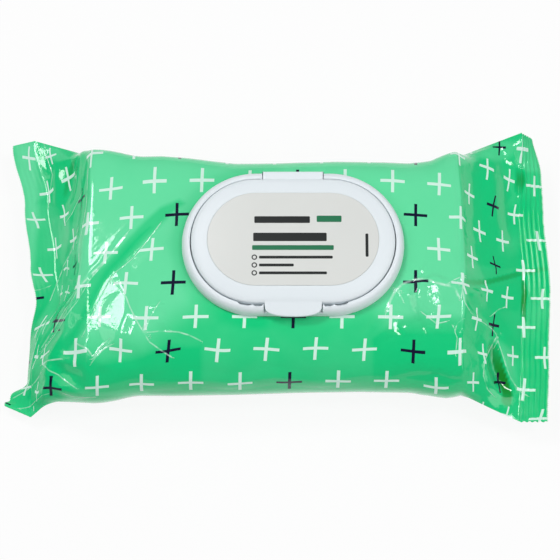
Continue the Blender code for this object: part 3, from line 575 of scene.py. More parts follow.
# where the film is crumpled: both ends and the two front corners, hardly on the top
def crumpleMask(x, across):
    c = crumpleAt
    total = c["least"] + c["ends"] * smoothStep((np.abs(x) - c["endsFrom"]) / c["endsOver"])
    for share, *place in c["corners"]:
        total += share * blob(x, across, *place)
    for share, side, start, over in c["sides"]:
        total += share * smoothStep((side * across - start) / over)
    return np.clip(total, 0, 1)


# strength of a line from one end to the other
def alongFade(reached, ends):
    return np.sin(math.pi * (ends + (1 - 2 * ends) * reached))


def creaseHeight(x, across, crumple):
    total = np.zeros(x.shape)
    for height, left, right, points in creases:
        away, onRight, reached = lineDistance(x, across, points)
        width = np.where(onRight, right, left)
        fade = alongFade(reached, film["creaseEnds"]) ** film["creasePower"]
        total += height * np.clip(1 - away / width, 0, 1) * fade
    for height, radius, cx, cy in dents:
        away = ((x - cx) ** 2 + (across - cy) ** 2) / radius**2
        total += height * np.clip(1 - away, 0, 1) ** film["dentPower"]
    for i, (height, size) in enumerate(crumpleAt["facets"]):
        total += crumple**2 * height * facets(x, across, size, film["seed"] + i)
    return total


# signed and plain distance from the nearest sharp fold line, in its half widths
def foldMarks(x, across):
    near = np.full(x.shape, film["foldFar"])
    signed = near.copy()
    for width, points in foldLines:
        away, onRight, _ = lineDistance(x, across, points)
        away = np.minimum(away / width, film["foldFar"])
        closer = away < near
        near = np.where(closer, away, near)
        signed = np.where(closer, np.where(onRight, away, -away), signed)
    return signed, near


def shiftPrint(along, across):
    total, weights = np.zeros((2, *along.shape)), np.full(along.shape, film["shiftHold"])
    for u, v, shiftAlong, shiftAcross in printShifts:
        weight = np.exp(-((along - u) ** 2 + (across - v) ** 2) / (2 * film["shiftReach"] ** 2))
        total += weight * np.array([shiftAlong, shiftAcross])[:, None, None]
        weights += weight
    return along + total[0] / weights, across + total[1] / weights


# distance in from an outline's edge, below zero outside it
def insideOutline(x, y, outline):
    nearest = np.full(x.shape, 1e9)
    inside = np.zeros(x.shape, bool)
    for (x0, y0), (x1, y1) in zip(outline, (*outline[1:], outline[0])):
        dx, dy = x1 - x0, y1 - y0
        share = np.clip(((x - x0) * dx + (y - y0) * dy) / (dx * dx + dy * dy), 0, 1)
        nearest = np.minimum(nearest, np.hypot(x - x0 - share * dx, y - y0 - share * dy))
        if dy:
            inside ^= ((y0 > y) != (y1 > y)) & (x < x0 + dx * (y - y0) / dy)
    return np.where(inside, nearest, -nearest)


def filmSheetAndLightTone(x, across, slope, lower):
    t = toneOf

    def cloud(share, size, seed):
        return share * facets(x, across, size, seed)

    if lower:
        return np.clip(t["lower"] - t["lowerSlope"] * slope + cloud(*t["lowerFacets"]), 0, 1)
    # painted shade towards the front, where the film turns down; darker towards the back
    frontFrom = np.interp(x, *zip(*t["frontFrom"]))
    sheetAndLightTone = 1 - t["frontShade"] * smoothStep((-across - frontFrom) / t["frontOver"])
    sheetAndLightTone -= t["backFall"] * smoothStep((across - t["backFrom"]) / t["backOver"])
    # painted shadow beside the lid, on its left
    nearLid = smoothStep(1 - lidDistance(x, across) / t["lidReach"])
    sheetAndLightTone -= t["lidShadow"] * nearLid * smoothStep((film["lidAlong"] - x) / t["lidOver"])
    # painted shade on the end slopes, deeper on the right one
    endShadeTone = np.where(x < 0, t["leftSlopeShadeTone"], t["rightSlopeShadeTone"]) + cloud(*t["slopeFacets"])
    sheetAndLightTone = np.where(slope > 0, endShadeTone, sheetAndLightTone)
    for change, feather, outline in sheetAndLightPatches:
        sheetAndLightTone = sheetAndLightTone + change * smoothStep(0.5 + insideOutline(x, across, outline) / (2 * feather))
    sheetAndLightTone = np.clip(sheetAndLightTone + cloud(*t["facets"]), 0, 1)
    # painted shade along the folds, taking the tone below zero
    for depth, width, points in shadeLines:
        away, _, reached = lineDistance(x, across, points)
        near = smoothStep((t["shadeFrom"] - away / width) / t["shadeOver"])
        sheetAndLightTone -= depth * near * alongFade(reached, t["shadeEnds"]) * (sheetAndLightTone + 1)
    return sheetAndLightTone


# one half of the film with creases, seal thickness and crumple: its grid and what the shader reads
def foldedFilm(across, lower):
    grid, along, fin, slope = filmSheet(across, lower)
    normal = gridNormals(grid, lower)
    x, over = grid[..., 0], np.repeat(across[None, :], len(grid), axis=0)
    fins, slopes = (np.repeat(values[:, None], len(across), axis=1) for values in (fin, slope))
    crumple = crumpleMask(x, over)
    rise = smoothStep(fins / film["sealFade"]) * film["sealThickness"] / 2
    edge = np.minimum(over - across[0], across[-1] - over)
    fade = smoothStep(edge / film["sideFade"]) * smoothStep((1 - slopes) / film["slopeFade"])
    if lower:
        c = crumpleAt
        waves = c["under"] * facets(x, over, c["underSize"], c["underSeed"])
        rise += waves * fade * smoothStep(slopes / c["underOver"])
    else:
        clear = smoothStep((lidDistance(x, grid[..., 1]) - film["lidClear"]) / film["lidFade"])
        rise += creaseHeight(x, over, crumple) * clear * fade
    grid[:, 1:-1] += (normal * rise[..., None])[:, 1:-1]
    if lower:
        flat = (slope == 0) & (fin == 0)
        grid[flat, :, 2] = np.maximum(grid[flat, :, 2], film["undersideLift"])
    else:
        grid[1:-1] = (grid[:-2] + 2 * grid[1:-1] + grid[2:]) / 4

    along, printAcross = shiftPrint(along, over * (1 + film["printGather"] * slopes))
    calm = 1 - crumpleAt["calm"] * smoothStep((np.abs(x) - crumpleAt["calmFrom"]) / crumpleAt["calmOver"])
    inCorner = smoothStep((dullAt["along"] - x) / dullAt["alongOver"])
    inCorner = inCorner * smoothStep((dullAt["across"] - over) / dullAt["acrossOver"])
    sealGloss = 1 - dullAt["seal"] * smoothStep(fins / dullAt["sealOver"])
    far = np.full(over.shape, film["foldFar"])
    foldSide, foldNear = (far, far) if lower else foldMarks(x, over)
    marks = {
        "crumple": crumple * calm, "sheetAndLightTone": filmSheetAndLightTone(x, over, slopes, lower), "finShare": fins,
        "gloss": sealGloss * (1 - dullAt["corner"] * inCorner),
        "ribShare": np.where(x < 0, film["leftRibs"], 1) * (-1 if lower else 1),
        "foldSide": foldSide, "foldNear": foldNear,
    }
    return grid, along, printAcross, over, marks


# the four corners of every quad of a grid, turned the other way for faces that look down
def quadCorners(values, turned=False):
    quad = [values[:-1, :-1], values[1:, :-1], values[1:, 1:], values[:-1, 1:]]
    return np.stack(quad[::-1] if turned else quad, axis=2)


def makeFilmMesh():
    across = acrossSamples()
    every = film["lowerEvery"]
    coarse = across[::every]
    upper, upperU, upperV, _, upperMarks = foldedFilm(across, False)
    lower, lowerU, _, lowerOver, lowerMarks = foldedFilm(coarse, True)
    rows, count = upper.shape[:2]
    narrow = lower.shape[1]
    upperIds = np.arange(rows * count).reshape(rows, count)
    lowerIds = np.zeros((rows, narrow), int)
    lowerIds[:, 1:-1] = rows * count + np.arange(rows * (narrow - 2)).reshape(rows, narrow - 2)
    lowerIds[:, 0], lowerIds[:, -1] = upperIds[:, 0], upperIds[:, -1]
    points = np.concatenate([upper.reshape(-1, 3), lower[:, 1:-1].reshape(-1, 3)])
    faces = quadCorners(upperIds).reshape(-1, 4).tolist() + quadCorners(lowerIds, True).reshape(-1, 4).tolist()

    # under the pouch the print comes round from the front and from the back, up to the long seam
    upperUv = np.stack([upperU, upperV], axis=-1)
    frontV = -(2 * halfGirth(film["frontRound"]) + lowerOver)
    backV = 2 * halfGirth(film["backRound"]) - lowerOver
    frontUv, backUv = (quadCorners(np.stack([lowerU, v], axis=-1), True) for v in (frontV, backV))
    isBack = (coarse[:-1] + coarse[1:]) / 2 > film["seamTo"]
    lowerUv = np.where(isBack[None, :, None, None], backUv, frontUv)

    edgeUv = []
    for row, turned in ((0, False), (rows - 1, True)):
        for k in range(narrow - 1):
            reach = slice(every * k, every * k + every + 1)
            loop = upperIds[row, reach].tolist() + [int(lowerIds[row, k + 1]), int(lowerIds[row, k])]
            place = upperUv[row, reach].tolist()
            place += [place[-1], place[0]]
            pairs = list(dict(zip(loop, place)).items())
            if turned:
                pairs = pairs[::-1]
            faces.append([p[0] for p in pairs])
            edgeUv += [p[1] for p in pairs]
    uvRows = [quadCorners(upperUv).reshape(-1, 2), lowerUv.reshape(-1, 2), np.array(edgeUv)]

    mesh = bpy.data.meshes.new("printedFilm")
    mesh.from_pydata((points * mm).tolist(), [], faces)
    layer = mesh.uv_layers.new(name="film")
    layer.data.foreach_set("uv", np.concatenate(uvRows).astype(np.float32).ravel())
    for name, top in upperMarks.items():
        pointValues(mesh, name, np.concatenate([top.ravel(), lowerMarks[name][:, 1:-1].ravel()]))
    mesh.shade_smooth()
    mesh.set_sharp_from_angle(angle=math.radians(film["sharpAngle"]))
    return mesh, upper, upperUv, lower


# points along both cut edges for the teeth, with the directions that each tooth needs
def makeEdgePoints(upper, upperUv):
    places, outs, ups, marks = [], [], [], []
    for row, inner in ((0, film["toothRow"]), (-1, -1 - film["toothRow"])):
        edge = upper[row]
        length = np.concatenate([[0], np.cumsum(np.linalg.norm(np.diff(edge, axis=0), axis=1))])
        count = int(length[-1] / film["toothPitch"])
        at = (np.arange(count) + 0.5) / count * length[-1]

        def along(values):
            return np.stack([np.interp(at, length, values[:, i]) for i in range(values.shape[1])], axis=-1)

        outward = along(edge - upper[inner])
        outward /= np.linalg.norm(outward, axis=1, keepdims=True)
        run = along(np.gradient(edge, axis=0))
        up = np.cross(outward, run) * (-1 if row == 0 else 1)
        up /= np.linalg.norm(up, axis=1, keepdims=True)
        places.append(along(edge) - up * film["sealThickness"] / 2)
        outs.append(outward)
        ups.append(up)
        marks.append(along(upperUv[row]))
    mesh = bpy.data.meshes.new("edgePoints")
    mesh.from_pydata((np.concatenate(places) * mm).tolist(), [], [])
    marks = [np.pad(m, ((0, 0), (0, 1))) for m in marks]
    for name, values in (("toothOut", outs), ("toothUp", ups), ("filmPlace", marks)):
        pointValues(mesh, name, np.concatenate(values), "FLOAT_VECTOR")
    return newObject("edgePoints", mesh)


sealFinish = {"Rib Count": 5.0, "Rib Depth": 0.28 * mm, "Tooth Radius": 0.55 * mm, "Tooth Thickness": 0.5 * mm}
flatShare = 0.02   # of a seal's width, left without ribs at either edge


def named(tree, name, kind="FLOAT"):
    return addNode(tree, "GeometryNodeInputNamedAttribute", {"Name": name}, data_type=kind).outputs[0]


# crimps the seals with ribs and sets a row of teeth on their cut edges
def filmTree(material, inputs):
    tree, given = startGroup("sealFinish", inputs)
    fin = named(tree, "finShare")
    turns = calc(tree, "MULTIPLY", calc(tree, "MULTIPLY", fin, given.outputs["Rib Count"]), 2 * math.pi)
    onFin = calc(tree, "GREATER_THAN", fin, flatShare)
    inFin = calc(tree, "MULTIPLY", onFin, calc(tree, "LESS_THAN", fin, 1 - flatShare))
    depth = calc(tree, "SINE", turns)
    for factor in (inFin, given.outputs["Rib Depth"], named(tree, "ribShare")):
        depth = calc(tree, "MULTIPLY", depth, factor)
    normal = tree.nodes.new("GeometryNodeInputNormal").outputs[0]
    push = addNode(tree, "ShaderNodeVectorMath", {0: normal, "Scale": depth}, operation="SCALE").outputs[0]
    ribbed = addNode(tree, "GeometryNodeSetPosition", {"Geometry": given.outputs["Geometry"], "Offset": push})

    info = addNode(tree, "GeometryNodeObjectInfo", {"Object": given.outputs["Edge Points"]})
    tooth = addNode(tree, "GeometryNodeMeshCylinder", {
        "Vertices": 3, "Radius": given.outputs["Tooth Radius"], "Depth": given.outputs["Tooth Thickness"],
    })
    out, up, place = (named(tree, name, "FLOAT_VECTOR") for name in ("toothOut", "toothUp", "filmPlace"))
    facing = addNode(tree, "FunctionNodeAlignRotationToVector", {"Vector": out}, axis="X")
    turned = {"Rotation": facing.outputs[0], "Vector": up}
    upright = addNode(tree, "FunctionNodeAlignRotationToVector", turned, axis="Z", pivot_axis="X")
    row = addNode(tree, "GeometryNodeInstanceOnPoints", {
        "Points": info.outputs["Geometry"], "Instance": tooth.outputs["Mesh"], "Rotation": upright.outputs[0],
    })
    real = addNode(tree, "GeometryNodeRealizeInstances", {"Geometry": row.outputs[0]})
    stored = {"Geometry": real.outputs[0], "Name": "film", "Value": place}
    marked = addNode(tree, "GeometryNodeStoreNamedAttribute", stored, data_type="FLOAT2", domain="CORNER")
    joined = tree.nodes.new("GeometryNodeJoinGeometry")
    tree.links.new(marked.outputs[0], joined.inputs[0])
    tree.links.new(ribbed.outputs[0], joined.inputs[0])
    endGroup(tree, joined.outputs[0], material)
    return tree


# pale and deep: film on and off the white sheets, mixed by a tone that also carries painted light and shade;
# shade: painted shade in folds; fold: white of fold lines, partly a painted highlight
filmPrint = {
    "rowStart": -43.2, "rowPitch": 17.17, "columnStart": -48, "columnPitch": 23, "oddShift": 57.5, "shear": 0.03,
    "armLength": 11.9, "armWidth": 1.5, "edge": 0.15, "navyEvery": 5,
    "pale": (0.135, 0.76, 0.375), "deep": (0.003, 0.60, 0.205), "shade": (0.003, 0.24, 0.006),
    "white": (0.66, 0.91, 0.79), "navy": (0.002, 0.003, 0.028), "cloud": 0.16, "cloudScale": 0.05, "coat": 0.8,
    "fold": (0.66, 0.95, 0.80), "foldWhiteAndHighlightShare": 0.8, "foldRise": 0.3, "foldScale": 0.22, "foldNear": 3.5,
    "wrinkleScale": 0.16, "wrinkleLeast": 0.04, "wrinkleDistance": 0.5 * mm,
}


# glossy green film with a staggered print of plus signs, drawn on the flat film's own millimetres
def filmMaterial():
    p = filmPrint
    material, tree, shader = newMaterial(
        "printedFilmGloss", Roughness=0.2, Specular_IOR_Level=0.06, Coat_Roughness=0.05,
    )
    place = addNode(tree, "ShaderNodeUVMap", uv_map="film").outputs[0]
    split = addNode(tree, "ShaderNodeSeparateXYZ", {0: place})
    u, v = split.outputs[0], split.outputs[1]

    def attribute(name):
        return addNode(tree, "ShaderNodeAttribute", attribute_name=name).outputs["Fac"]

    # the nearest row or column of the print, and how far it is in millimetres
    def nearest(value, start, pitch):
        at = calc(tree, "DIVIDE", calc(tree, "SUBTRACT", value, start), pitch)
        line = calc(tree, "ROUND", at)
        return line, calc(tree, "ABSOLUTE", calc(tree, "MULTIPLY", calc(tree, "SUBTRACT", at, line), pitch))

    def within(distance, limit):
        share = calc(tree, "DIVIDE", calc(tree, "SUBTRACT", limit, distance), p["edge"])
        return calc(tree, "ADD", share, 0.5, clamp=True)

    row, fromRow = nearest(v, p["rowStart"], p["rowPitch"])
    odd = calc(tree, "FLOORED_MODULO", row, 2.0)
    shifted = calc(tree, "SUBTRACT", u, calc(tree, "MULTIPLY", v, p["shear"]))
    shifted = calc(tree, "SUBTRACT", shifted, calc(tree, "MULTIPLY", odd, p["oddShift"]))
    column, fromColumn = nearest(shifted, p["columnStart"], p["columnPitch"])
    thin, far = p["armWidth"] / 2, p["armLength"] / 2
    upright = calc(tree, "MULTIPLY", within(fromColumn, thin), within(fromRow, far))
    level = calc(tree, "MULTIPLY", within(fromRow, thin), within(fromColumn, far))
    plus = calc(tree, "MAXIMUM", upright, level)
    isNavy = calc(tree, "LESS_THAN", calc(tree, "FLOORED_MODULO", column, float(p["navyEvery"])), 0.5)

    # the tone mixes film on and off the white sheets with painted light and shade; below zero it turns to the
    # painted shade colour
    sheetAndLightTone = attribute("sheetAndLightTone")
    cloud = calc(tree, "SUBTRACT", noise(tree, place, p["cloudScale"], 3), 0.5)
    pale = calc(tree, "ADD", sheetAndLightTone, calc(tree, "MULTIPLY", cloud, p["cloud"]), clamp=True)
    ground = mixColour(tree, pale, p["deep"], p["pale"])
    ground = mixColour(tree, calc(tree, "MULTIPLY", sheetAndLightTone, -1.0, clamp=True), ground, p["shade"])
    # fold lines whitened: partly the creased film's own white, partly a painted highlight
    fold = calc(tree, "SUBTRACT", 1.0, calc(tree, "ABSOLUTE", attribute("foldSide")), clamp=True)
    fold = calc(tree, "MULTIPLY", fold, calc(tree, "LESS_THAN", attribute("foldNear"), p["foldNear"]))
    uneven = rangeOf(tree, noise(tree, place, p["foldScale"], 2), 0.35, 0.6, 0.1, 1.0)
    fold = calc(tree, "MULTIPLY", fold, uneven)
    inked = mixColour(tree, plus, ground, mixColour(tree, isNavy, p["white"], p["navy"]))
    inked = mixColour(tree, calc(tree, "MULTIPLY", fold, p["foldWhiteAndHighlightShare"]), inked, p["fold"])

    wrinkle = calc(tree, "ABSOLUTE", calc(tree, "SUBTRACT", noise(tree, place, p["wrinkleScale"], 3, 0.55), 0.5))
    wrinkle = calc(tree, "MULTIPLY", wrinkle, rangeOf(tree, attribute("crumple"), 0, 1, p["wrinkleLeast"], 1))
    wrinkle = calc(tree, "ADD", wrinkle, calc(tree, "MULTIPLY", fold, p["foldRise"]))
    bump = bumpOf(tree, wrinkle, p["wrinkleDistance"], 1.0)
    coat = calc(tree, "MULTIPLY", attribute("gloss"), p["coat"])
    setInputs(tree, shader, {"Base Color": inked, "Coat Weight": coat, "Normal": bump, "Coat Normal": bump})
    return material


filmGloss = filmMaterial()
filmBody, upperGrid, upperPlaces, lowerGrid = makeFilmMesh()
edgePoints = makeEdgePoints(upperGrid, upperPlaces)
filmInputs = {"Edge Points": edgePoints, **sealFinish}
rawFilm = newObject("rawFilm", filmBody, filmGloss)
printedFilm = runGroup(rawFilm, filmTree(filmGloss, filmInputs), filmInputs, "printedFilm")
bpy.data.objects.remove(edgePoints)
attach(printedFilm, "pack")
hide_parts("film_pouch")
print("film:", len(printedFilm.data.polygons), "faces")

# the long seam under the pouch, and what the film's shader reads on it
backSeam = {"from": -116, "to": 118, "near": 0.4, "far": 11.6, "thickness": 0.3, "step": 0.5, "lowFrom": 0.1}
seamRibs = {"Rib Spacing": 1.6 * mm, "Rib Depth": 0.1 * mm}
seamMarks = {"sheetAndLightTone": 0.2, "crumple": 0.1, "foldSide": film["foldFar"], "foldNear": film["foldFar"], "gloss": 0.6}


def seamTree(material):
    tree, given = startGroup("seamFinish", seamRibs)
    place = addNode(tree, "ShaderNodeSeparateXYZ", {0: tree.nodes.new("GeometryNodeInputPosition").outputs[0]})
    turns = calc(tree, "DIVIDE", place.outputs[0], given.outputs["Rib Spacing"])
    turns = calc(tree, "MULTIPLY", turns, 2 * math.pi)
    half = calc(tree, "MULTIPLY", given.outputs["Rib Depth"], 0.5)
    wave = calc(tree, "MULTIPLY", calc(tree, "ADD", calc(tree, "SINE", turns), 1.0), half)
    rise = addNode(tree, "ShaderNodeCombineXYZ", {2: calc(tree, "MULTIPLY", wave, named(tree, "underFace"))})
    moved = {"Geometry": given.outputs["Geometry"], "Offset": rise.outputs[0]}
    endGroup(tree, addNode(tree, "GeometryNodeSetPosition", moved).outputs[0], material)
    return tree


def makeBackSeam():
    s = backSeam
    xs = np.arange(s["from"], s["to"] + s["step"] / 2, s["step"])
    onSeam = (lowerGrid[0, :, 1] > s["near"]) & (lowerGrid[0, :, 1] < s["far"])
    under = lowerGrid[:, onSeam].mean(axis=1)   # the film it lies against, which rises at both ends
    tops = np.interp(xs, under[:, 0], under[:, 2])
    ring = ((s["near"], 0), (s["near"], -s["thickness"]), (s["far"], -s["thickness"]), (s["far"], 0))
    points = [(x, y, top + z) for x, top in zip(xs, tops) for y, z in ring]
    last = 4 * (len(xs) - 1)
    faces = [(i + j, i + (j + 1) % 4, i + 4 + (j + 1) % 4, i + 4 + j) for i in range(0, last, 4) for j in range(4)]
    faces += [(3, 2, 1, 0), (last, last + 1, last + 2, last + 3)]
    mesh = solidMesh("backSeam", points, faces, 30)
    layer = mesh.uv_layers.new(name="film")
    for loop in mesh.loops:
        place = mesh.vertices[loop.vertex_index].co / mm
        layer.data[loop.index].uv = (place.x, 2 * halfGirth(film["backRound"]) - place.y)
    places = np.array([v.co for v in mesh.vertices]) / mm
    underFace = places[:, 2] - np.interp(places[:, 0], xs, tops) < -s["lowFrom"]
    for name, value in {**seamMarks, "underFace": underFace}.items():
        pointValues(mesh, name, np.full(len(places), value, np.float32))
    return runGroup(newObject("rawSeam", mesh, filmGloss), seamTree(filmGloss), seamRibs, "backSeam")


seam = makeBackSeam()
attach(seam, "pack")
print("seam:", len(seam.data.polygons), "faces")

# the flip lid; a notch's or the lip's wall stands between two stations, wallGap to either side of its place
lid = {
    "along": 8.6, "back": 9.5, "height": 45, "straight": 17.5, "round": 35.5, "arcSteps": 56, "wallGap": 0.02,
    "rimWidth": 4, "rimHeight": 6.9, "rimLean": 0.78, "flangeEdge": 1.1, "footWidth": 1.4, "footLow": 0.3,
    "deckUnder": 1.4, "deckTop": 2.8, "mouthRound": 20.5, "collarWidth": 1.2, "collarTop": 4.8,
    "notchHalf": 13.9, "notchFloor": 3.9, "pockets": ((14.4, 18.6), (20.4, 27)), "pocketEdge": 0.5,
    "pocketDepth": 1.2, "pocketFloor": 4.6, "frontFrom": -0.8, "backTighter": 0.2,
    "lipHalf": 14.7, "lipInner": 35.09, "lipTop": 6.25, "ledge": 5.05, "leastWall": 0.1,
    "innerEase": (0.15, 0.45, 0.45, 0.5, 0.8, 0.12, 0.1, 0.3), "footEase": 0.12,
}
# crown: in from the cover's edge, up from edgeTop, and easing; tongue: heights from its root out and back
cover = {
    "round": 31.0, "top": 9.6, "edgeTop": 8.8, "foot": 3.4, "wall": 1.2, "labelRound": 23.2, "labelSink": 0.3,
    "bezel": 1.4, "bezelFall": 0.02, "labelEase": (0, 0.08, 0.12, 0.6),
    "crown": ((4.6, 0.5, 1.2), (2.4, 0.1, 1), (1.2, -0.35, 0.6), (0.35, -0.9, 0.5), (0, -1.7, 0.5)),
    "plainFrom": 1.9, "plainStep": 0.2, "wallTop": 1.6, "wallBend": 1.2, "innerEase": 0.3,
    "ringInner": 22.35, "ringOuter": 23.35, "ringLow": 3.1,
    "tabHalf": 13.4, "tabSide": 32.6, "tabFront": 37.3, "tabBow": 2.6, "tabThickness": 1.5, "tabSlope": 0.2493,
    "tabTop": 7.9, "tabRoot": ((0.5, 0.05), (0.2, 0.01)), "tabEase": (0.5, 0.05, 0.45, 0.35, 0.05, 0.3),
    "tongueHalf": 14.3, "tongueRound": 34.2, "tongue": (6.98, 6.92, 5.95, 5.75),
    "tongueEase": (0.5, 0.5, 0.18, 0.18, 0.3, 0.3), "webRound": 35.03, "webTop": 6.73, "webLow": 6.37,
}
label = {"round": 23.12, "low": 9.5, "high": 9.75, "ease": 0.1}
longestEase = 0.45   # of an edge, that the easing of one corner may take


# corners of a profile eased by small curves; every profile of the same corners has the same count of points
def filleted(corners, radii, steps=4, closed=True):
    corners = [np.array(c, float) for c in corners]
    made = []
    count = len(corners)
    for i, corner in enumerate(corners):
        radius = radii[i]
        if radius == 0 or (not closed and i in (0, count - 1)):
            made.append(corner)
            continue
        ends = []
        for other in (corners[i - 1], corners[(i + 1) % count]):
            gap = np.linalg.norm(other - corner)
            ends.append(corner + (other - corner) * (min(radius, longestEase * gap) / gap if gap > 1e-6 else 0))
        for k in range(steps + 1):
            t = k / steps
            made.append(ends[0] * (1 - t) ** 2 + corner * 2 * t * (1 - t) + ends[1] * t**2)
    return np.array(made)


# places round a stadium: centre x, outward direction, and the side that each is on
def stations(frontXs, backXs, straight):
    made = [(x, 0.0, -1.0, "front") for x in frontXs]
    for k in range(1, lid["arcSteps"]):
        turn = -math.pi / 2 + math.pi * k / lid["arcSteps"]
        made.append((straight, math.cos(turn), math.sin(turn), "arc"))
    made += [(x, 0.0, 1.0, "back") for x in backXs[::-1]]
    for k in range(1, lid["arcSteps"]):
        turn = math.pi / 2 + math.pi * k / lid["arcSteps"]
        made.append((-straight, math.cos(turn), math.sin(turn), "arc"))
    return made


def sweepRound(name, places, profileAt, closed, place, sharpAngle=32):
    rings = []
    for x, dirX, dirY, side in places:
        profile = profileAt(x + dirX * lid["round"], side, dirY)
        ring = np.stack([x + dirX * profile[:, 0], dirY * profile[:, 0], profile[:, 1]], axis=-1)
        rings.append(ring + np.array(place))
    count = len(rings[0])
    faces = []
    for i in range(len(rings)):
        after = (i + 1) % len(rings)
        for j in range(count if closed else count - 1):
            k = (j + 1) % count
            faces.append((i * count + j, after * count + j, after * count + k, i * count + k))
    return solidMesh(name, np.concatenate(rings), faces, sharpAngle)


def mirrored(values):
    return [-v for v in sorted(values, reverse=True) if v > 0] + sorted(values)


lidPlace = (lid["along"], lid["back"], lid["height"])


# how far the rim's inner wall stands back beside the thumb tab
def basePocket(x, dirY):
    if dirY > lid["frontFrom"] or abs(x) < lid["notchHalf"]:
        return 0.0
    depth = 0.0
    for near, far in lid["pockets"]:
        ends = smoothStep((abs(x) - near) / lid["pocketEdge"]) * smoothStep((far - abs(x)) / lid["pocketEdge"])
        depth = max(depth, float(ends))
    return lid["pocketDepth"] * depth


def baseProfile(x, side, dirY):
    inner = lid["round"] - lid["rimWidth"] - lid["backTighter"] * max(dirY, 0)
    isNotch = side == "front" and abs(x) < lid["notchHalf"]
    isLip = side == "back" and abs(x) < lid["lipHalf"]
    pocket = 0 if isNotch else basePocket(x, dirY)
    cap = lid["notchFloor"] if isNotch else lid["rimHeight"]
    ledgeRound = lid["lipInner"] if isLip else inner + pocket
    ledge = lid["ledge"] if isLip else lid["pocketFloor"] if pocket else 0.5 * (lid["deckTop"] + cap)
    top = lid["lipTop"] if isLip else cap
    mouth, collar = lid["mouthRound"], lid["mouthRound"] + lid["collarWidth"]
    corners = [
        (mouth, lid["deckUnder"]), (mouth, lid["collarTop"]), (collar, lid["collarTop"]), (collar, lid["deckTop"]),
        (inner, lid["deckTop"]), (inner, min(ledge, cap)), (ledgeRound, min(ledge, cap)), (ledgeRound, top),
    ]
    radii = list(lid["innerEase"])
    for degrees in range(90, -1, -10):
        turn = math.radians(degrees)
        out = lid["round"] - lid["rimWidth"] * (1 - math.cos(turn)) * lid["rimLean"]
        up = lid["flangeEdge"] + (lid["rimHeight"] - lid["flangeEdge"]) * math.sin(turn)
        corners.append((max(out, ledgeRound + lid["leastWall"]), min(up, top)))
        radii.append(0)
    foot = lid["round"] - lid["footWidth"]
    corners += [(lid["round"], lid["footLow"]), (foot, lid["footLow"]), (foot, lid["deckUnder"])]
    return filleted(corners, [*radii, lid["footEase"], 0, 0])


wallGap, notch, lip = lid["wallGap"], lid["notchHalf"], lid["lipHalf"]
notchXs = [notch - wallGap, notch + wallGap, notch + 0.5, notch + 1]
baseFront = mirrored([0, 5, 10, *notchXs, 16, 17, lid["straight"]])
baseBack = mirrored([0, 7, lip - wallGap, lip + wallGap, 16, lid["straight"]])
lidBaseMesh = sweepRound("lidBase", stations(baseFront, baseBack, lid["straight"]), baseProfile, True, lidPlace)


# front edge of the thumb tab: straight sides and a bowed front
def tabReach(x):
    share = min(abs(x) / cover["tabHalf"], 1)
    bow = (1 - share ** cover["tabBow"]) ** (1 / cover["tabBow"])
    return cover["tabSide"] + (cover["tabFront"] - cover["tabSide"]) * bow


def coverProfile(x, side, dirY):
    c = cover
    outer, skirt = c["round"], c["round"] - c["wall"]
    sunk = c["top"] - c["labelSink"]
    under = sunk - c["wall"]
    corners = [(0, sunk), (c["labelRound"], sunk), (c["labelRound"], c["top"])]
    corners.append((c["labelRound"] + c["bezel"], c["top"] - c["bezelFall"]))
    corners += [(outer - inwards, c["edgeTop"] + up) for inwards, up, _ in c["crown"]]
    radii = [*c["labelEase"], *(ease for _, _, ease in c["crown"])]
    if side == "front" and abs(x) < c["tabHalf"] + wallGap:
        out = tabReach(x)

        def slopeTop(r):
            return c["tabTop"] - c["tabSlope"] * (r - outer)

        extra = [(r, slopeTop(r)) for r in (outer, (outer + out) / 2, out)]
        extra += [(r, z - c["tabThickness"]) for r, z in extra[::-1]]
        corners[-2:] = [(outer - inwards, slopeTop(outer - inwards) + up) for inwards, up in c["tabRoot"]]
    elif side == "back" and abs(x) < c["tongueHalf"] + wallGap:
        rounds = (outer, c["tongueRound"], c["webRound"], c["webRound"], c["tongueRound"], outer)
        extra = list(zip(rounds, (*c["tongue"][:2], c["webTop"], c["webLow"], *c["tongue"][2:])))
    else:
        extra = [(outer, c["edgeTop"] - c["plainFrom"] - c["plainStep"] * k) for k in range(6)]
    corners += extra
    radii += c["tabEase"] if side != "back" else c["tongueEase"]
    inside = [
        (outer, c["foot"]), (skirt, c["foot"]), (skirt, c["edgeTop"] - c["wallTop"]),
        (skirt - 1, c["edgeTop"] - c["wallBend"]), (c["ringOuter"], under), (c["ringOuter"], c["ringLow"]),
        (c["ringInner"], c["ringLow"]), (c["ringInner"], under),
    ]
    radii += [c["innerEase"]] * len(inside)
    return filleted([*corners, *inside, (0, under)], [*radii, 0], closed=False)


tab, tongue = cover["tabHalf"], cover["tongueHalf"]
tabXs = [tab * math.sin(math.pi / 2 * k / 14) for k in range(14)]
wallXs = [tab - wallGap, tab + 2 * wallGap, tongue - wallGap, tongue + 2 * wallGap]
coverXs = mirrored(sorted({*tabXs, *wallXs, 15.5, lid["straight"]}))
lidCoverMesh = sweepRound("lidCover", stations(coverXs, coverXs, lid["straight"]), coverProfile, False, lidPlace)


def labelProfile(x, side, dirY):
    low, high, edge, ease = label["low"], label["high"], label["round"], label["ease"]
    return filleted([(0, high), (edge, high), (edge, low), (0, low)], [0, ease, ease, 0], closed=False)


plainXs = mirrored([0, 6, 12, lid["straight"]])
lidLabelMesh = sweepRound("lidLabel", stations(plainXs, plainXs, lid["straight"]), labelProfile, False, lidPlace)

# noises of the bump are fine grain and a slow waviness of the flat walls: scale, detail and share
plastic = {
    "cloud": (30, 2), "colours": ((0.80, 0.855, 0.885), (0.775, 0.835, 0.87)), "roughness": (220, 0.36, 0.44),
    "bumps": ((2600, 1, 1.0), (45, 1, 6.0)), "bumpDistance": 0.04 * mm, "bumpStrength": 0.5,
}
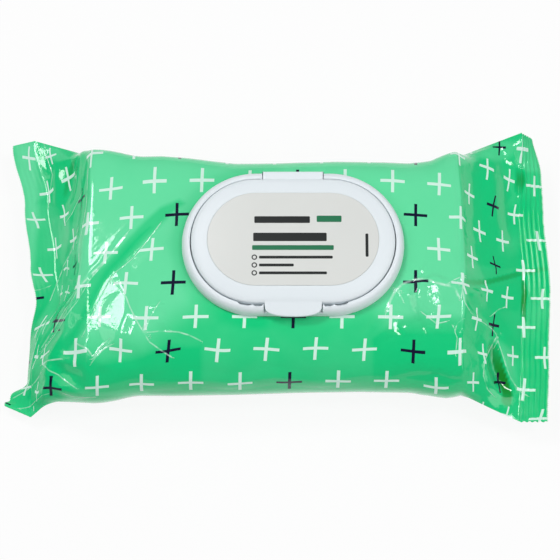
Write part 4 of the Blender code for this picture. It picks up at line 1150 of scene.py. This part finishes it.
# bars and rings in place of print: centre x and y from the lid's middle, half sizes, and the ink's number
labelMarks = {
    "bars": (
        (-5.2, 9.6, 13.2, 1.7, 0), (17.1, 10.0, 5.9, 1.6, 1), (-1.5, 0.9, 17.4, 2.1, 0),
        (-0.1, -4.4, 19.3, 1.2, 1), (1.3, -9.2, 17.4, 0.7, 0), (-7.9, -13.1, 8.2, 0.7, 0),
        (-0.1, -17.0, 16.0, 0.7, 0), (34.9, -3.2, 0.7, 5.8, 0),
    ),
    "rings": ((-18.3, -9.2), (-18.3, -13.1), (-18.3, -17.0)),
    "ringRound": 1.05, "ringLine": 0.28, "corner": 0.5, "edge": 0.12,
    "inks": ((0.006, 0.009, 0.009), (0.008, 0.17, 0.07)), "paper": (0.72, 0.735, 0.71), "paperDim": 0.97,
    "cloudScale": 60, "grainScale": 900, "grainDistance": 0.03 * mm, "grainStrength": 0.4,
}


# pale label with plain bars and rings where a label would carry words
def labelMaterial():
    m = labelMarks
    material, tree, shader = newMaterial("labelPaper", Roughness=0.38, Specular_IOR_Level=0.4)
    place = addNode(tree, "ShaderNodeTexCoord").outputs["Object"]
    centred = addNode(tree, "ShaderNodeMapping", {
        "Vector": place, "Location": (-lid["along"], -lid["back"], 0), "Scale": (1 / mm, 1 / mm, 1 / mm),
    }, vector_type="POINT")
    split = addNode(tree, "ShaderNodeSeparateXYZ", {0: centred.outputs[0]})
    x, y = split.outputs[0], split.outputs[1]

    def inside(distance):
        return calc(tree, "SUBTRACT", 0.5, calc(tree, "DIVIDE", distance, m["edge"]), clamp=True)

    def length(offX, offY):
        return calc(tree, "SQRT", calc(tree, "ADD", *(calc(tree, "MULTIPLY", off, off) for off in (offX, offY))))

    def bar(cx, cy, halfX, halfY):
        corner = min(m["corner"], halfX, halfY)
        offs = []
        for value, centre, half in ((x, cx, halfX), (y, cy, halfY)):
            off = calc(tree, "ABSOLUTE", calc(tree, "SUBTRACT", value, centre))
            offs.append(calc(tree, "MAXIMUM", calc(tree, "SUBTRACT", off, half - corner), 0.0))
        return inside(calc(tree, "SUBTRACT", length(*offs), corner))

    def ring(cx, cy):
        away = length(calc(tree, "SUBTRACT", x, cx), calc(tree, "SUBTRACT", y, cy))
        off = calc(tree, "ABSOLUTE", calc(tree, "SUBTRACT", away, m["ringRound"]))
        return inside(calc(tree, "SUBTRACT", off, m["ringLine"]))

    masks = [0.0, 0.0]
    for shape, ink in [(bar(*row[:4]), row[4]) for row in m["bars"]] + [(ring(*row), 0) for row in m["rings"]]:
        masks[ink] = calc(tree, "MAXIMUM", masks[ink], shape)
    dimmer = tuple(m["paperDim"] * c for c in m["paper"])
    colour = mixColour(tree, noise(tree, place, m["cloudScale"]), m["paper"], dimmer)
    for mask, ink in zip(masks, m["inks"]):
        colour = mixColour(tree, mask, colour, ink)
    grain = bumpOf(tree, noise(tree, place, m["grainScale"]), m["grainDistance"], m["grainStrength"])
    setInputs(tree, shader, {"Base Color": colour, "Normal": grain})
    return material


mouldedWhite = plainMaterial("mouldedWhite", plastic, Specular_IOR_Level=0.25, IOR=1.49)
lidBase = newObject("lidBase", lidBaseMesh, mouldedWhite)
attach(lidBase, "pack")
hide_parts("lid_base")
lidCover = newObject("lidCover", lidCoverMesh, mouldedWhite)
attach(lidCover, "lid")
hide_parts("lid_cover")
lidLabel = newObject("lidLabel", lidLabelMesh, labelMaterial())
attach(lidLabel, "lid")
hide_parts("lid_label")
print("lid:", [len(o.data.polygons) for o in (lidBase, lidCover, lidLabel)], "faces")

# the peel seal under the cover, and the glue under the lid's base
peel = {
    "straight": 16.5, "round": 14.5, "low": 0.3, "high": 0.6, "tabHalf": 6, "tabEnd": 37, "edge": 0.08,
    "cloud": (50, 2), "colours": ((0.83, 0.86, 0.86), (0.79, 0.83, 0.83)), "roughness": (50, 0.22, 0.32),
    "bumps": ((140, 2, 1.0),), "bumpDistance": 0.3 * mm, "bumpStrength": 0.4,
}
glue = {
    "cloud": (90, 3), "colours": ((0.78, 0.75, 0.62), (0.68, 0.64, 0.50)),
    "bumps": ((400, 3, 1.0),), "bumpDistance": 0.2 * mm, "bumpStrength": 0.5,
}


def peelOutline():
    quarter, root = math.pi / 2, math.asin(peel["tabHalf"] / peel["round"])
    return [
        *arc(peel["straight"], peel["round"], -quarter, -root, 24),
        *arc(peel["tabEnd"] - peel["tabHalf"], peel["tabHalf"], -quarter, quarter, 16),
        *arc(peel["straight"], peel["round"], root, quarter, 24),
        *arc(-peel["straight"], peel["round"], quarter, 3 * quarter, 48),
    ]


def makePeelSeal():
    shape = bmesh.new()
    top = shape.faces.new([shape.verts.new((x * mm, y * mm, peel["high"] * mm)) for x, y in peelOutline()])
    grown = bmesh.ops.extrude_face_region(shape, geom=[top])
    lowVerts = [v for v in grown["geom"] if isinstance(v, bmesh.types.BMVert)]
    bmesh.ops.translate(shape, verts=lowVerts, vec=(0, 0, (peel["low"] - peel["high"]) * mm))
    bmesh.ops.translate(shape, verts=shape.verts, vec=np.array(lidPlace) * mm)
    bmesh.ops.recalc_face_normals(shape, faces=shape.faces)
    mesh = bpy.data.meshes.new("peelSeal")
    shape.to_mesh(mesh)
    shape.free()
    made = newObject("peelSeal", mesh)
    soften = made.modifiers.new("soften", "BEVEL")
    soften.width = peel["edge"] * mm
    soften.segments = 2
    soften.limit_method = "ANGLE"
    made.data = bakeModifiers(made, "peelSeal")
    made.data.materials.clear()
    made.data.materials.append(plainMaterial(
        "stickerFilm", peel, Specular_IOR_Level=0.5, Coat_Weight=0.3, Coat_Roughness=0.1,
    ))
    return made


peelSeal = makePeelSeal()
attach(peelSeal, "pack")
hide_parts("peel_seal")
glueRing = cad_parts["adhesive_ring"]
driedGlue = plainMaterial("driedGlue", glue, Roughness=0.5)
for slotOf in glueRing.material_slots:
    slotOf.material = driedGlue
print("seal and glue done")

view = {
    "elevation": 72, "aim": (2.4, 0, 20.8), "distance": 1050, "seenWidth": 272.5, "sensor": 36, "clip": (0.05, 20),
}
sky = {"colour": (0.97, 0.985, 1.0, 1), "low": 0.05, "high": 0.75, "horizon": 0.38, "zenith": 0.22}
ground = {"half": 6, "below": 0.3, "colour": (0.86, 0.86, 0.86, 1), "glow": 0.9}
# direction from the pack, distance, size and radiance of each lamp
lamps = {
    "panelLeft": ((-0.62, -0.1, 0.78), 1.3, 0.75, 1.9), "panelRight": ((0.75, -0.35, 0.56), 1.3, 0.75, 2.7),
    "glintLeft": ((-0.36, 0.34, 0.87), 1.3, 0.335, 15.8), "glintRight": ((0.39, 0.02, 0.92), 1.3, 0.21, 22),
}


# shows one colour to the camera, to gloss and through glass, and another to soft light
def cameraRayMix(tree, lit, seen):
    path = addNode(tree, "ShaderNodeLightPath")
    share = calc(tree, "MAXIMUM", path.outputs["Is Camera Ray"], path.outputs["Is Glossy Ray"])
    share = calc(tree, "MAXIMUM", share, path.outputs["Is Transmission Ray"])
    return addNode(tree, "ShaderNodeMixShader", {0: share, 1: lit, 2: seen}).outputs[0]


def makeWorld():
    world = bpy.data.worlds.new("studio")
    world.use_nodes = True
    bpy.context.scene.world = world
    tree = world.node_tree
    tree.nodes.clear()
    toward = addNode(tree, "ShaderNodeSeparateXYZ", {0: addNode(tree, "ShaderNodeTexCoord").outputs["Generated"]})
    level = rangeOf(tree, toward.outputs[2], sky["low"], sky["high"], sky["horizon"], sky["zenith"])
    air = addNode(tree, "ShaderNodeBackground", {"Color": sky["colour"], "Strength": level})
    addNode(tree, "ShaderNodeOutputWorld", {0: air.outputs[0]})


def makeFloor():
    half, z = ground["half"], -ground["below"] * mm
    mesh = bpy.data.meshes.new("floor")
    mesh.from_pydata([(-half, -half, z), (half, -half, z), (half, half, z), (-half, half, z)], [], [(0, 1, 2, 3)])
    material = bpy.data.materials.new("paleFloor")
    material.use_nodes = True
    tree = material.node_tree
    tree.nodes.clear()
    plain = addNode(tree, "ShaderNodeBsdfDiffuse", {"Color": ground["colour"]})
    glow = addNode(tree, "ShaderNodeEmission", {"Color": (1, 1, 1, 1), "Strength": 1.0})
    white = addNode(tree, "ShaderNodeMixShader", {0: ground["glow"], 1: plain.outputs[0], 2: glow.outputs[0]})
    addNode(tree, "ShaderNodeOutputMaterial", {0: cameraRayMix(tree, plain.outputs[0], white.outputs[0])})
    floor = newObject("floor", mesh, material)


def addLamp(name, direction, far, size, radiance):
    data = bpy.data.lights.new(name, "AREA")
    data.size = size
    data.energy = radiance * math.pi * size * size
    lamp = newObject(name, data)
    way = Vector(direction).normalized()
    lamp.location = Vector(view["aim"]) * mm + way * far
    lamp.rotation_euler = (-way).to_track_quat("-Z", "Y").to_euler()


makeWorld()
makeFloor()
for lampName, settings in lamps.items():
    addLamp(lampName, *settings)

cameraData = bpy.data.cameras.new("camera")
cameraData.sensor_width = view["sensor"]
cameraData.lens = view["sensor"] * view["distance"] / view["seenWidth"]
cameraData.clip_start, cameraData.clip_end = view["clip"]
camera = newObject("camera", cameraData)
elevation = math.radians(view["elevation"])
back = Vector((0, -math.cos(elevation), math.sin(elevation)))
camera.location = Vector(view["aim"]) * mm + back * view["distance"] * mm
camera.rotation_euler = (-back).to_track_quat("-Z", "Y").to_euler()
bpy.context.scene.camera = camera
bpy.context.scene.view_settings.view_transform = "Standard"
print("light and camera done")
